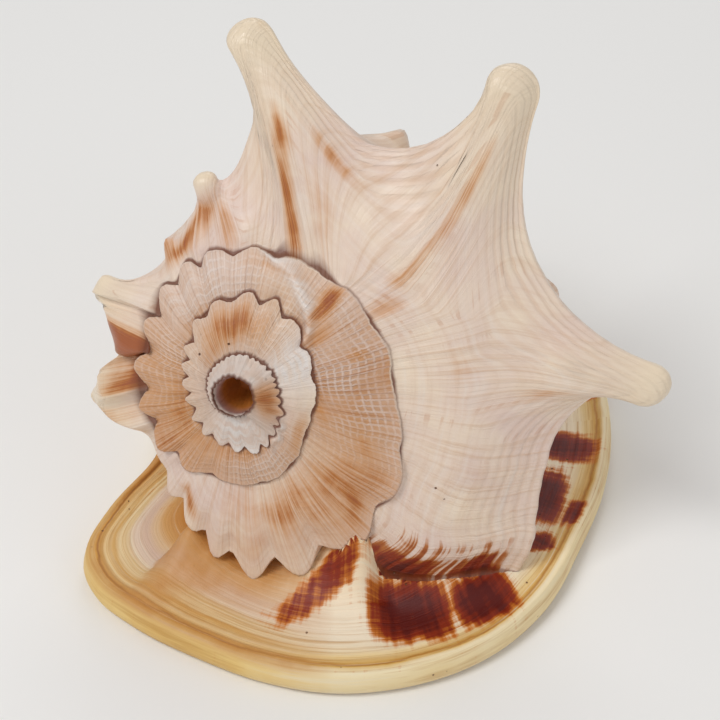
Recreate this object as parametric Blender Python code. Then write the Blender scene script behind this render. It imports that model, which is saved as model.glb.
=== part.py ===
"""Horned helmet shell lying on its flat mouth side, as one solid grown in a widening spiral.

Lengths are in millimetres until the mesh is placed, when they become metres. The coil is described
round its own axis: theta is the growth angle in degrees, clockwise as seen from the apex, with 0 on
the back of the shell and the lip at 140. One turn earlier is 360 less. r is the distance from the
axis, and h the height along it, 0 at the apex and negative towards the siphonal canal.
"""

import math

import bmesh
import bpy
import numpy as np

MM = 0.001
ORIGIN = (-1.8, -31.9, 0.0)     # brings the middle of the footprint to the origin

# Where the coil stands over the ground: its apex, how far its axis rises, and how far it turns left.
APEX = np.array([-40.0, -32.0, 88.0])
AXIS_RISE = 22.0
AXIS_LEFT = 14.0

# The coil runs from the broken apex to the lip, and its columns repeat turn after turn.
LIP_ANGLE = 140.0
TURNS = 4
COLUMNS = 66
HOLE_R = 6.2                # the broken apex leaves a hole of this radius
HOLE_DEPTH = 17.0
SPIRE_SLOPE = 0.40
SUTURE_DROP = 2.6           # each whorl starts this much under the edge of the one before
CANAL_H = -190.0
CANAL_R = 13.0
CANAL_LIFT = 13.0           # the canal turns up at its end, and the shield under it by more
SHIELD_LIFT = 22.0

# Shoulder radius along the growth angle. One turn on, it is the suture of the next whorl.
SHOULDER_R = [(-1300, 6.4), (-1200, 8.6), (-1120, 10.8), (-1072, 12.6), (-1030, 12.9), (-992, 13.4),
              (-958, 16.0), (-920, 20.3), (-880, 19.4), (-845, 17.0), (-811, 17.0), (-781, 20.1),
              (-755, 25.0), (-731, 28.8), (-710, 29.2), (-690, 27.2), (-660, 24.6), (-630, 23.8),
              (-600, 25.4), (-576, 30.0), (-553, 34.6), (-525, 35.8), (-495, 38.0), (-465, 37.0),
              (-430, 36.5), (-400, 41.0), (-370, 42.6), (-340, 43.6), (-300, 46.2), (-271, 48.0),
              (-250, 55.0), (-235, 59.5), (-217, 63.0), (-199, 66.5), (-185, 67.5), (-172, 63.5),
              (-163, 57.0), (-150, 50.0), (-138, 45.0), (-125, 42.5), (-103, 42.0), (-88, 39.5),
              (-75, 41.0), (-61, 43.5), (-50, 46.0), (-35, 52.0), (-22, 57.5), (-5, 65.0), (12, 72.0),
              (27, 80.0), (40, 88.0), (57, 97.0), (70, 100.0), (84, 98.0), (95, 95.5), (106, 99.0),
              (114, 104.0), (121, 109.0), (140, 106.0)]
SHOULDER_H = [(-300, -18.5), (-250, -21.0), (-217, -22.5), (-185, -21.5), (-150, -22.0),
              (-110, -22.0), (-50, -24.0), (0, -30.0), (45, -36.0), (85, -41.0), (119, -44.0),
              (140, -46.0)]
# How far the knobs stand out of the shoulder.
KNOB_R = [(-1300, 0.3), (-992, 0.9), (-700, 1.5), (-550, 1.3), (-460, 3.0), (-360, 2.6), (-320, 0.6),
          (-250, 0.6), (-228, 7.0), (-163, 7.5), (-145, 2.0), (-125, 0.0), (140, 0.0)]
# Where the knobs of the visible turns sit, one apart along the second value.
KNOB_TURNS = [(-1300, -42.0), (-514, -1.0), (-495, 0.0), (-474, 1.0), (-448, 2.0), (-427, 3.0), (-409, 4.0),
              (-395, 5.0), (-379, 6.0), (-360, 7.0), (-341, 8.0), (-320, 9.0), (-235, 13.0),
              (-217, 14.0), (-199, 15.0), (-185, 16.0), (-172, 17.0), (-162, 18.0), (-152, 19.0), (140, 40.0)]
# The side of the last whorl, from the shoulder to the canal: share of the way, share of the radius.
SIDE = [(0.0, 1.0), (0.05, 0.985), (0.12, 0.94), (0.22, 0.865), (0.45, 0.68), (0.65, 0.47),
        (0.82, 0.25), (1.0, 0.0)]
# Lower rows of knobs on the side: share of the way, reach, half width in shares of the way.
ROWS = [(0.21, 6.5, 0.045), (0.40, 4.0, 0.04), (0.57, 2.5, 0.035)]
ROW_PITCH = 17.0

# Horns: growth angle of the base, then tip radius, tip angle and tip height, and the half width.
HORNS = [(-105.0, 58.0, -110.0, -28.0, 9.0),
         (-66.0, 59.5, -76.0, -32.0, 5.5),
         (-20.0, 65.0, -21.0, -26.0, 4.5),
         (2.0, 113.0, -6.5, -36.0, 7.0),
         (40.0, 130.0, 32.5, -37.0, 7.5),
         (78.0, 133.5, 85.0, -42.0, 9.5)]

# The shield: the flat rim round the mouth, seen from above, and the heights of its faces.
SHIELD_CENTRE = (0.0, 40.0)
SHIELD_RIM = [(-79, 12), (-91, -7), (-97, -26), (-91, -40), (-78, -52), (-53, -67), (-33, -76),
              (-10, -81), (13, -79), (40, -68), (62, -47), (76, -20), (87, 8), (92, 34), (92, 60),
              (85, 85), (69, 107), (45, 125), (23, 139), (5, 145), (-11, 141), (-28, 125),
              (-47, 104), (-63, 78), (-74, 44)]
DISH_Z = 7.6
RIM_Z = 11.0
BELLY_Z = 3.5               # the coil is flattened at this height, inside the shield
HUMP_CENTRE = (0.0, 54.0)
HUMP_RADII = (52.0, 76.0)
HUMP_TOP = 18.0
HUMP_BELLY = 8.5
HUMP_MOUTH = 6.0            # the face round the mouth is hollowed by this much

# The mouth: a long slot, toothed on both sides, that opens into the last whorl.
MOUTH_Y = (-24.0, 156.0)
MOUTH_X = (17.0, 3.0)
MOUTH_HALF = 8.5
TOOTH_PITCH = 12.0
WALL = 6.5


def through(points, x):
    """A smooth curve through (x, value) points, read at x."""
    xs, ys = np.array(points, float).T
    slopes = np.gradient(ys, xs)
    x = np.clip(x, xs[0], xs[-1])
    i = np.clip(np.searchsorted(xs, x) - 1, 0, len(xs) - 2)
    span = xs[i + 1] - xs[i]
    t = (x - xs[i]) / span
    return (ys[i] * (1 + 2 * t) * (1 - t) ** 2 + ys[i + 1] * t * t * (3 - 2 * t)
            + span * (slopes[i] * t * (1 - t) ** 2 - slopes[i + 1] * t * t * (1 - t)))


def ease(x):
    """A soft step from 0 to 1."""
    x = np.clip(x, 0.0, 1.0)
    return x * x * (3.0 - 2.0 * x)


def axis_frame():
    """The directions to the apex, to the right and to the back of the shell."""
    rise = math.radians(AXIS_RISE)
    left = math.radians(AXIS_LEFT)
    up = np.array([-math.sin(left) * math.cos(rise), -math.cos(left) * math.cos(rise), math.sin(rise)])
    right = np.array([math.cos(left), -math.sin(left), 0.0])
    return up, right, np.cross(up, right)


AXIS_UP, AXIS_RIGHT, AXIS_BACK = axis_frame()


def place(r, theta, h):
    """Points of the coil's frame in millimetres over the ground."""
    angle = np.radians(theta)
    r, angle, h = np.broadcast_arrays(np.asarray(r, float), angle, np.asarray(h, float))
    out = (r * np.cos(angle))[..., None] * AXIS_BACK + (r * np.sin(angle))[..., None] * AXIS_RIGHT
    out = APEX + h[..., None] * AXIS_UP + out
    out[..., 2] += CANAL_LIFT * np.clip((h + 120.0) / (CANAL_H + 120.0), 0.0, 1.2) ** 2
    return out


def hump(x, y):
    """How far the middle of the shield is, from 0 at its flat border to 1."""
    far = ((x - HUMP_CENTRE[0]) / HUMP_RADII[0]) ** 2 + ((y - HUMP_CENTRE[1]) / HUMP_RADII[1]) ** 2
    return ease(1.0 - far)


def canal_rise(y):
    """The shield turns up towards the end of the canal."""
    return SHIELD_LIFT * np.clip((y - 103.0) / 42.0, 0.0, 1.2) ** 2


def flatten(points, floor, soft=2.2):
    """The coil rests softly on a floor instead of going through it."""
    out = points.copy()
    low = (out[..., 2] - floor) / soft
    out[..., 2] = floor + soft * np.logaddexp(0.0, low)
    return out


def belly(points):
    """The floor under the coil, inside the thickness of the shield."""
    x, y = points[..., 0], points[..., 1]
    return BELLY_Z + HUMP_BELLY * hump(x, y) + 0.8 * canal_rise(y)


def tooth(theta):
    """Knobs along the shoulder, 0 between them and 1 on them."""
    xs, ys = np.array(KNOB_TURNS, float).T
    return 0.5 + 0.5 * np.cos(2 * np.pi * np.interp(theta, xs, ys))


def shoulder(theta):
    """Radius and height of the shoulder edge with its knobs."""
    r = through(SHOULDER_R, theta)
    h = np.where(theta < -300.0, -SPIRE_SLOPE * r, through(SHOULDER_H, theta))
    return r + through(KNOB_R, theta) * tooth(theta), h


def suture(theta):
    """Where a whorl starts: the edge one turn before, or the rim of the broken apex."""
    r, h = shoulder(theta - 360.0)
    first = theta < LIP_ANGLE - 360.0 * (TURNS - 1)
    wave = 0.35 * np.cos(np.radians(theta) * 13.0)
    return np.where(first, HOLE_R + wave * 0.5, r), np.where(first, -SPIRE_SLOPE * HOLE_R + wave, h)


def ramp(theta, v):
    """The visible top of a whorl, from its suture (v = 0) to its shoulder (v = 1)."""
    r0, h0 = suture(theta)
    r1, h1 = shoulder(theta)
    width = r1 - r0
    body = ease((theta + 60.0) / 120.0)
    drop = np.minimum(SUTURE_DROP, 0.3 * width) + 2.0 * body
    fall = np.where(v > 0.0, (1.0 - v) ** (1.4 + body), 0.0)
    swell = through(KNOB_R, theta) * tooth(theta) * np.exp(-((v - 0.86) / 0.16) ** 2) * 0.9
    round_off = -0.06 * width * np.clip((v - 0.8) / 0.2, 0.0, 1.0) ** 2
    r = r0 + width * v
    h = h0 + (h1 - h0) * v - drop * fall + swell * (1 - v) / 0.14 * 0.3 + swell * 0.4
    h = h + 0.10 * width * body * np.sin(np.pi * np.clip(v, 0, 1)) ** 2 + round_off * (1 - body) * 0
    return r, h


def side(theta, s):
    """The last whorl under its shoulder, from s = 0 there to s = 1 at the end of the canal."""
    r1, h1 = through(SHOULDER_R, theta), shoulder(theta)[1]
    fuller = 0.16 * ease((20.0 - theta) / 90.0) * np.sin(np.pi * np.clip(s * 1.25, 0, 1))
    share = through(SIDE, s) + fuller
    r = CANAL_R + (r1 - CANAL_R) * share
    for at, reach, half in ROWS:
        knob = 0.35 + 0.65 * (0.5 + 0.5 * np.cos(2 * np.pi * (theta + 100 * at) / ROW_PITCH))
        r = r + reach * knob * ease((r1 - 40.0) / 50.0) * np.exp(-((s - at) / half) ** 2)
    r = r + through(KNOB_R, theta) * tooth(theta) * np.exp(-(s / 0.05) ** 2)
    return r, h1 + (CANAL_H - h1) * s


def lip_end(theta, r):
    """The last columns close up on the line where the whorl meets the shield."""
    stop = 140.0 - 17.0 * ease((r - 80.0) / 32.0)
    return np.where(theta > 90.0, 90.0 + (theta - 90.0) * (stop - 90.0) / 50.0, theta)


def horned(theta, points):
    """Pulls the surface out into the horns."""
    out = points.copy()
    for at, tip_r, tip_angle, tip_h, half in HORNS:
        r0, h0 = shoulder(np.array(at))
        base = place(r0, at, h0)
        tip = place(tip_r, tip_angle, tip_h)
        far = np.linalg.norm(points - base, axis=-1)
        near = np.abs(theta - at) < 100.0
        finger = 0.8 / (1.0 + (far / half) ** 3.4) + 0.2 / (1.0 + (far / half / 2.6) ** 2.6)
        pull = np.where(near, np.tanh(1.6 * finger) / math.tanh(1.6), 0.0)
        out += pull[..., None] * (tip - base)
    return out


def column_angles():
    """Growth angles of one turn from the lip on, closer together where the horns are."""
    fine = np.linspace(LIP_ANGLE, LIP_ANGLE + 360.0, 3601)
    weight = np.ones_like(fine)
    for at, *_, half in HORNS:
        gap = (fine - at + 180.0) % 360.0 - 180.0
        weight += 1.1 * np.exp(-(gap / 13.0) ** 2)
    total = np.concatenate([[0.0], np.cumsum(0.5 * (weight[1:] + weight[:-1]))])
    return np.interp(np.arange(COLUMNS) / COLUMNS, total / total[-1], fine)


RAMP_V = np.array([0.0, 0.05, 0.2, 0.42, 0.65, 0.83, 0.94, 1.0])
SIDE_S = np.array([0.0, 0.025, 0.06, 0.11, 0.16, 0.21, 0.27, 0.35, 0.42, 0.5, 0.6, 0.72, 0.85, 1.0])


def coil_points(theta, v, on_side):
    """Points of the coil over the ground."""
    if on_side:
        r, h = side(theta, v)
    else:
        r, h = ramp(theta, v)
    turned = lip_end(theta, r)
    points = horned(theta, place(r, turned, h))
    return flatten(points, belly(points))


def add_row(bm, points):
    return [bm.verts.new(p * MM) for p in points]


def zip_rows(bm, a, b):
    """Triangles between two rows of vertices that may share their ends."""
    i = j = 0
    while i < len(a) - 1 or j < len(b) - 1:
        step_a = j == len(b) - 1 or (i < len(a) - 1 and (i + 1) / (len(a) - 1) <= (j + 1) / (len(b) - 1))
        corners = (a[i], b[j], a[i + 1]) if step_a else (a[i], b[j], b[j + 1])
        if len(set(corners)) == 3:
            bm.faces.new(corners)
        i, j = (i + 1, j) if step_a else (i, j + 1)


def quads(bm, a, b):
    """Faces between two rows of the same length, leaving out the ones that have no width."""
    for k in range(len(a) - 1):
        corners = []
        for vert in (a[k], b[k], b[k + 1], a[k + 1]):
            if vert not in corners:
                corners.append(vert)
        if len(corners) > 2:
            bm.faces.new(corners)


def coil():
    """The whole coil, closed at the broken apex, at the lip and at the canal."""
    bm = bmesh.new()
    angles = column_angles() - 360.0 * TURNS
    theta = np.concatenate([angles + 360.0 * k for k in range(TURNS)] + [[LIP_ANGLE]])
    last = COLUMNS * (TURNS - 1)
    columns = []
    for i, t in enumerate(theta):
        rows = add_row(bm, coil_points(np.full(len(RAMP_V) - 1, t), RAMP_V[1:], False))
        if i == 0:
            rows = [rows[0]] * len(RAMP_V)
        elif i < COLUMNS:
            rows = add_row(bm, coil_points(np.array([t]), np.array([0.0]), False)) + rows
        else:
            rows = [columns[i - COLUMNS][len(RAMP_V) - 1]] + rows
        if i >= last:
            rows += add_row(bm, coil_points(np.full(len(SIDE_S) - 1, t), SIDE_S[1:], True))
        columns.append(rows)
    top = len(RAMP_V)
    for i in range(len(columns) - 1):
        quads(bm, columns[i][:top], columns[i + 1][:top])
        if i >= last:
            quads(bm, columns[i][top - 1:], columns[i + 1][top - 1:])
    # The pit of the broken apex.
    rim = [columns[i][0] for i in range(COLUMNS)]
    centre = place(0.0, 0.0, 0.0)
    for share, depth in ((0.93, 3.5), (0.86, 8.0), (0.7, 12.5), (0.42, HOLE_DEPTH)):
        ring = []
        for i in range(COLUMNS):
            ring.append(bm.verts.new(place(HOLE_R * share, theta[i], -2.5 - depth) * MM))
        quads(bm, ring + ring[:1], rim + rim[:1])
        rim = ring
    middle = bm.verts.new((centre - AXIS_UP * (HOLE_DEPTH + 3.5)) * MM)
    for i in range(COLUMNS):
        bm.faces.new((rim[i], rim[i - 1], middle))
    # The end of the canal.
    end = [columns[i][-1] for i in range(last, last + COLUMNS)] + [columns[-1][-1]]
    tip = bm.verts.new(sum((np.array(v.co) for v in end), np.zeros(3)) / len(end))
    for i in range(len(end) - 1):
        bm.faces.new((end[i], end[i + 1], tip))
    # The end of the last whorl drops to the belly, and closes on the start of the same whorl.
    edge = columns[-1]
    foot = []
    for vert in edge[1:-1]:
        p = np.array(vert.co) / MM
        p[2] = float(belly(p)) - 1.2
        foot.append(bm.verts.new(p * MM))
    foot = [edge[0]] + foot + [edge[-1]]
    quads(bm, edge, foot)
    start = columns[last][top - 1:]
    zip_rows(bm, foot, start)
    bm.faces.new((foot[-1], start[-1], tip)) if foot[-1] is not start[-1] else None
    return finish(bm, "coil")


def finish(bm, name):
    """Turns the faces outwards and makes the object."""
    bmesh.ops.remove_doubles(bm, verts=bm.verts, dist=1e-6)
    bmesh.ops.delete(bm, geom=[v for v in bm.verts if not v.link_faces], context="VERTS")
    bmesh.ops.recalc_face_normals(bm, faces=bm.faces)
    mesh = bpy.data.meshes.new(name)
    bm.to_mesh(mesh)
    bm.free()
    obj = bpy.data.objects.new(name, mesh)
    bpy.context.collection.objects.link(obj)
    return obj


def rim_radius(angle):
    """Distance of the shield's rim from its centre, going round it."""
    rim = np.array(SHIELD_RIM, float) - SHIELD_CENTRE
    around = np.unwrap(np.arctan2(rim[:, 1], rim[:, 0]))
    order = np.argsort(around)
    around, reach = around[order], np.hypot(rim[:, 0], rim[:, 1])[order]
    table = [(a + 2 * np.pi * k, d) for k in (-1, 0, 1) for a, d in zip(around, reach)]
    start = around[0]
    return through(sorted(table), (angle - start) % (2 * np.pi) + start)


def shield():
    """The shield, as a slab with a rolled rim, a dish behind the knobs and a flat underside."""
    bm = bmesh.new()
    count = 56
    angle = np.linspace(0, 2 * np.pi, count, endpoint=False)
    reach = rim_radius(angle)
    top = [(0.25, 0), (0.45, 0), (0.6, 0), (0.7, 0), (0.79, 0.08), (0.86, 0.25), (0.915, 0.5), (0.945, 0.85),
           (0.968, 1.0), (0.988, 0.85)]
    bottom = [(1.0, 0.45), (0.993, 0.2), (0.97, 0.0), (0.8, 0), (0.62, 0), (0.45, 0), (0.25, 0)]

    def ring(share, height, above):
        x = SHIELD_CENTRE[0] + reach * share * np.cos(angle)
        y = SHIELD_CENTRE[1] + reach * share * np.sin(angle)
        middle = hump(x, y)
        if above:
            z = DISH_Z + (RIM_Z - DISH_Z) * height + HUMP_TOP * middle * (1 - height)
            z = np.where(share > 0.98, RIM_Z * height, z)
        else:
            z = RIM_Z * height + HUMP_MOUTH * middle ** 2
        z = z + canal_rise(y)
        return add_row(bm, np.stack([x, y, z], -1))

    rings = [ring(s, h, True) for s, h in top] + [ring(s, h, False) for s, h in bottom]
    for a, b in zip(rings, rings[1:]):
        quads(bm, a + a[:1], b + b[:1])
    for row, z in ((rings[0], DISH_Z + HUMP_TOP), (rings[-1], HUMP_MOUTH)):
        middle = bm.verts.new(np.array([*SHIELD_CENTRE, z]) * MM)
        for i in range(count):
            bm.faces.new((row[i - 1], row[i], middle))
    return finish(bm, "shield")


def chamber():
    """The hollow of the last whorl, from behind the columella round to the mouth."""
    bm = bmesh.new()
    theta = np.linspace(-175.0, 137.0, 30)
    rows = []
    for t in theta:
        r0, h0 = suture(t)
        r1, h1 = through(SHOULDER_R, t), through(SHOULDER_H, t)
        section = [(0.85 * r0, h0 - 11.0), (0.5 * (r0 + r1), 0.5 * (h0 + h1) - 9.5), (r1 - 8.5, h1 - 8.5)]
        for s in (0.16, 0.34, 0.52, 0.68):
            section.append((CANAL_R + (r1 - CANAL_R) * through(SIDE, s) - WALL, h1 + (CANAL_H - h1) * s))
        section += [(10.0, h1 + (CANAL_H - h1) * 0.62), (10.0, h1 + (CANAL_H - h1) * 0.36),
                    (0.3 * r0, h0 - 17.0)]
        open_up = ease((t + 175.0) / 40.0) * 0.75 + 0.25
        section = np.array(section)
        section = section.mean(0) + (section - section.mean(0)) * open_up
        points = place(section[:, 0], lip_end(t, section[:, 0]), section[:, 1])
        rows.append(add_row(bm, flatten(points, 16.0 + 0.8 * canal_rise(points[..., 1]))))
    for a, b in zip(rows, rows[1:]):
        quads(bm, a + a[:1], b + b[:1])
    bm.faces.new(rows[0])
    bm.faces.new(rows[-1])
    return finish(bm, "chamber")


def mouth():
    """The slot of the mouth with its teeth, as the body to be cut away."""
    bm = bmesh.new()
    y = np.linspace(*MOUTH_Y, 46)
    t = (y - MOUTH_Y[0]) / (MOUTH_Y[1] - MOUTH_Y[0])
    middle = MOUTH_X[0] + (MOUTH_X[1] - MOUTH_X[0]) * t - 5.0 * np.sin(np.pi * t)
    half = MOUTH_HALF * (0.42 + 0.58 * np.sin(np.pi * np.clip(t * 1.15, 0, 1)) ** 0.8)
    biting = ease((t - 0.15) / 0.15) * ease((0.8 - t) / 0.12)
    lip = 2.8 * biting * (0.5 - 0.5 * np.cos(2 * np.pi * y / TOOTH_PITCH))
    fold = 1.6 * biting * (0.5 - 0.5 * np.cos(2 * np.pi * y / TOOTH_PITCH * 1.6))
    low = np.full_like(y, -6.0)
    high = np.interp(y, [-24.0, -12.0, 90.0, 120.0, 156.0], [14.0, 36.0, 36.0, 26.0, 34.0])
    flare = 1.35
    rows = [add_row(bm, np.stack([middle - half * flare, y, low], -1)),
            add_row(bm, np.stack([middle + half * flare, y, low], -1)),
            add_row(bm, np.stack([middle + half - lip, y, 0.4 * high], -1)),
            add_row(bm, np.stack([middle + half * 0.8, y, high], -1)),
            add_row(bm, np.stack([middle - half * 0.8, y, high], -1)),
            add_row(bm, np.stack([middle - half + fold, y, 0.4 * high], -1))]
    for a, b in zip(rows, rows[1:] + rows[:1]):
        quads(bm, a, b)
    bm.faces.new([row[0] for row in rows])
    bm.faces.new([row[-1] for row in rows])
    return finish(bm, "mouth")


def combine(target, tool, operation):
    """Applies one Boolean to the target and hides its tool. EXACT finds nothing left of the union."""
    modifier = target.modifiers.new(operation.title(), "BOOLEAN")
    modifier.object = tool
    modifier.operation = operation
    modifier.solver = "MANIFOLD"
    tool.hide_render = True
    tool.display_type = "WIRE"


def shell_material():
    """Worn shell: an off-white, faintly pink chalky surface."""
    material = bpy.data.materials.new("shell_surface")
    material.use_nodes = True
    principled = material.node_tree.nodes["Principled BSDF"]
    principled.inputs["Base Color"].default_value = (0.72, 0.60, 0.52, 1.0)
    principled.inputs["Roughness"].default_value = 0.5
    return material


def main():
    for obj in list(bpy.data.objects):
        bpy.data.objects.remove(obj)
    shell = coil()
    shell.name = "shell"
    shell.data.name = "shell"
    combine(shell, shield(), "UNION")
    combine(shell, chamber(), "DIFFERENCE")
    combine(shell, mouth(), "DIFFERENCE")
    shell.data.materials.append(shell_material())
    for obj in bpy.data.objects:
        obj.location = [c * MM for c in ORIGIN]


main()
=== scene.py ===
"""A worn horned helmet shell on its flat mouth side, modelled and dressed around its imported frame.

The shell is one surface grown in a widening spiral, with a shield round its mouth. Lengths are in
millimetres in the growing functions and become metres in the meshes. theta is the growth angle in
degrees, clockwise as seen from the apex, 0 on the back of the shell and 140 at the lip, and one turn
earlier is 360 less. r is the distance from the coil's axis and h the height along it.
"""

from __future__ import annotations

import logging
import math
from dataclasses import dataclass, field
from enum import Enum

import bpy
import numpy as np
from mathutils import Matrix, Vector

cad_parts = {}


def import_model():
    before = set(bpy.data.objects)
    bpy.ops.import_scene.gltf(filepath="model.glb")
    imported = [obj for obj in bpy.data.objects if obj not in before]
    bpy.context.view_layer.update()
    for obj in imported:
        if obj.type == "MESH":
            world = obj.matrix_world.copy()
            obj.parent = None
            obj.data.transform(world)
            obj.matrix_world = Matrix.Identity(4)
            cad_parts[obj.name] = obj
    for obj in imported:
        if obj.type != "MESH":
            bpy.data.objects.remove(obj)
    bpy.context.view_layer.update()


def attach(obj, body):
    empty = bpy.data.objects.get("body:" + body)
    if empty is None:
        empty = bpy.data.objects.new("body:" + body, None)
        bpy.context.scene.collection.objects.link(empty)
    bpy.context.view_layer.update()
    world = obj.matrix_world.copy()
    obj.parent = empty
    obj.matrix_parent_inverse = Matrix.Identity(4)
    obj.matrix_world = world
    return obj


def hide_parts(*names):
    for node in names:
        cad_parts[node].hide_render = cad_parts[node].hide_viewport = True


LOG = logging.getLogger("shell")
MM = 0.001
ORIGIN = np.array([-1.8, -31.9, 0.0])
TURN = 360.0
# How softly a surface settles on a floor, in mm.
SOFT = 2.2
# Degrees or millimetres in one unit of the UV map.
UNIT = 100.0
# The pit's vertices are told from the ramps' by their mm from the shoulder, which start here.
PIT_MM = 60.0


class Zone(Enum):
    """Kinds of surface on the shell, in the order of its material slots."""

    WALL = 0
    SHIELD = 1
    PORCELAIN = 2
    INSIDE = 3


class Joining(Enum):
    """Ways in which a tool body changes the shell."""

    UNION = "UNION"
    DIFFERENCE = "DIFFERENCE"


class Side(Enum):
    """Parts of the shield's section, in the order of its rows."""

    TOP = 0
    RIM = 1
    UNDER = 2


def through(points: list[tuple[float, float]], x: np.ndarray) -> np.ndarray:
    """Reads a smooth curve through points.

    Args:
        points: pairs of x and value, in rising order of x.
        x: where the curve is read.

    Returns:
        The curve's value at each x.
    """
    xs, ys = np.array(points, float).T
    slopes = np.gradient(ys, xs)
    x = np.clip(x, xs[0], xs[-1])
    i = np.clip(np.searchsorted(xs, x) - 1, 0, len(xs) - 2)
    span = xs[i + 1] - xs[i]
    t = (x - xs[i]) / span
    return (ys[i] * (1 + 2 * t) * (1 - t) ** 2 + ys[i + 1] * t * t * (3 - 2 * t)
            + span * (slopes[i] * t * (1 - t) ** 2 - slopes[i + 1] * t * t * (1 - t)))


def ease(x: np.ndarray) -> np.ndarray:
    """Gives a soft step from 0 to 1."""
    x = np.clip(x, 0.0, 1.0)
    return x * x * (3.0 - 2.0 * x)


def bump(x: np.ndarray, half: float) -> np.ndarray:
    """Gives a round hill of height 1 with the half width it is given."""
    return np.exp(-(x / half) ** 2)


def wander(x: np.ndarray, seed: float) -> np.ndarray:
    """Gives an irregular wave between about -1 and 1 along x, the same on every run."""
    return (0.5 * np.sin(x + 1.7 * seed) + 0.3 * np.sin(2.3 * x + 2.9 * seed)
            + 0.2 * np.sin(4.1 * x + 0.7 * seed))


def settle(z: np.ndarray, floor: np.ndarray) -> np.ndarray:
    """Lifts heights softly over a floor."""
    return floor + SOFT * np.logaddexp(0.0, (z - floor) / SOFT)


@dataclass(frozen=True)
class Horn:
    """One horn, pulled out of the shoulder at a growth angle.

    Its fields are, in order, the angle of the base, the tip's radius, angle and height, the half
    width, the groove's depth, and how much steeper the flanks before and after it are.
    """

    angle: float
    tip_r: float
    tip_angle: float
    tip_h: float
    half: float
    groove: float = 0.0
    early: float = 0.0
    late: float = 0.0


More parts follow.
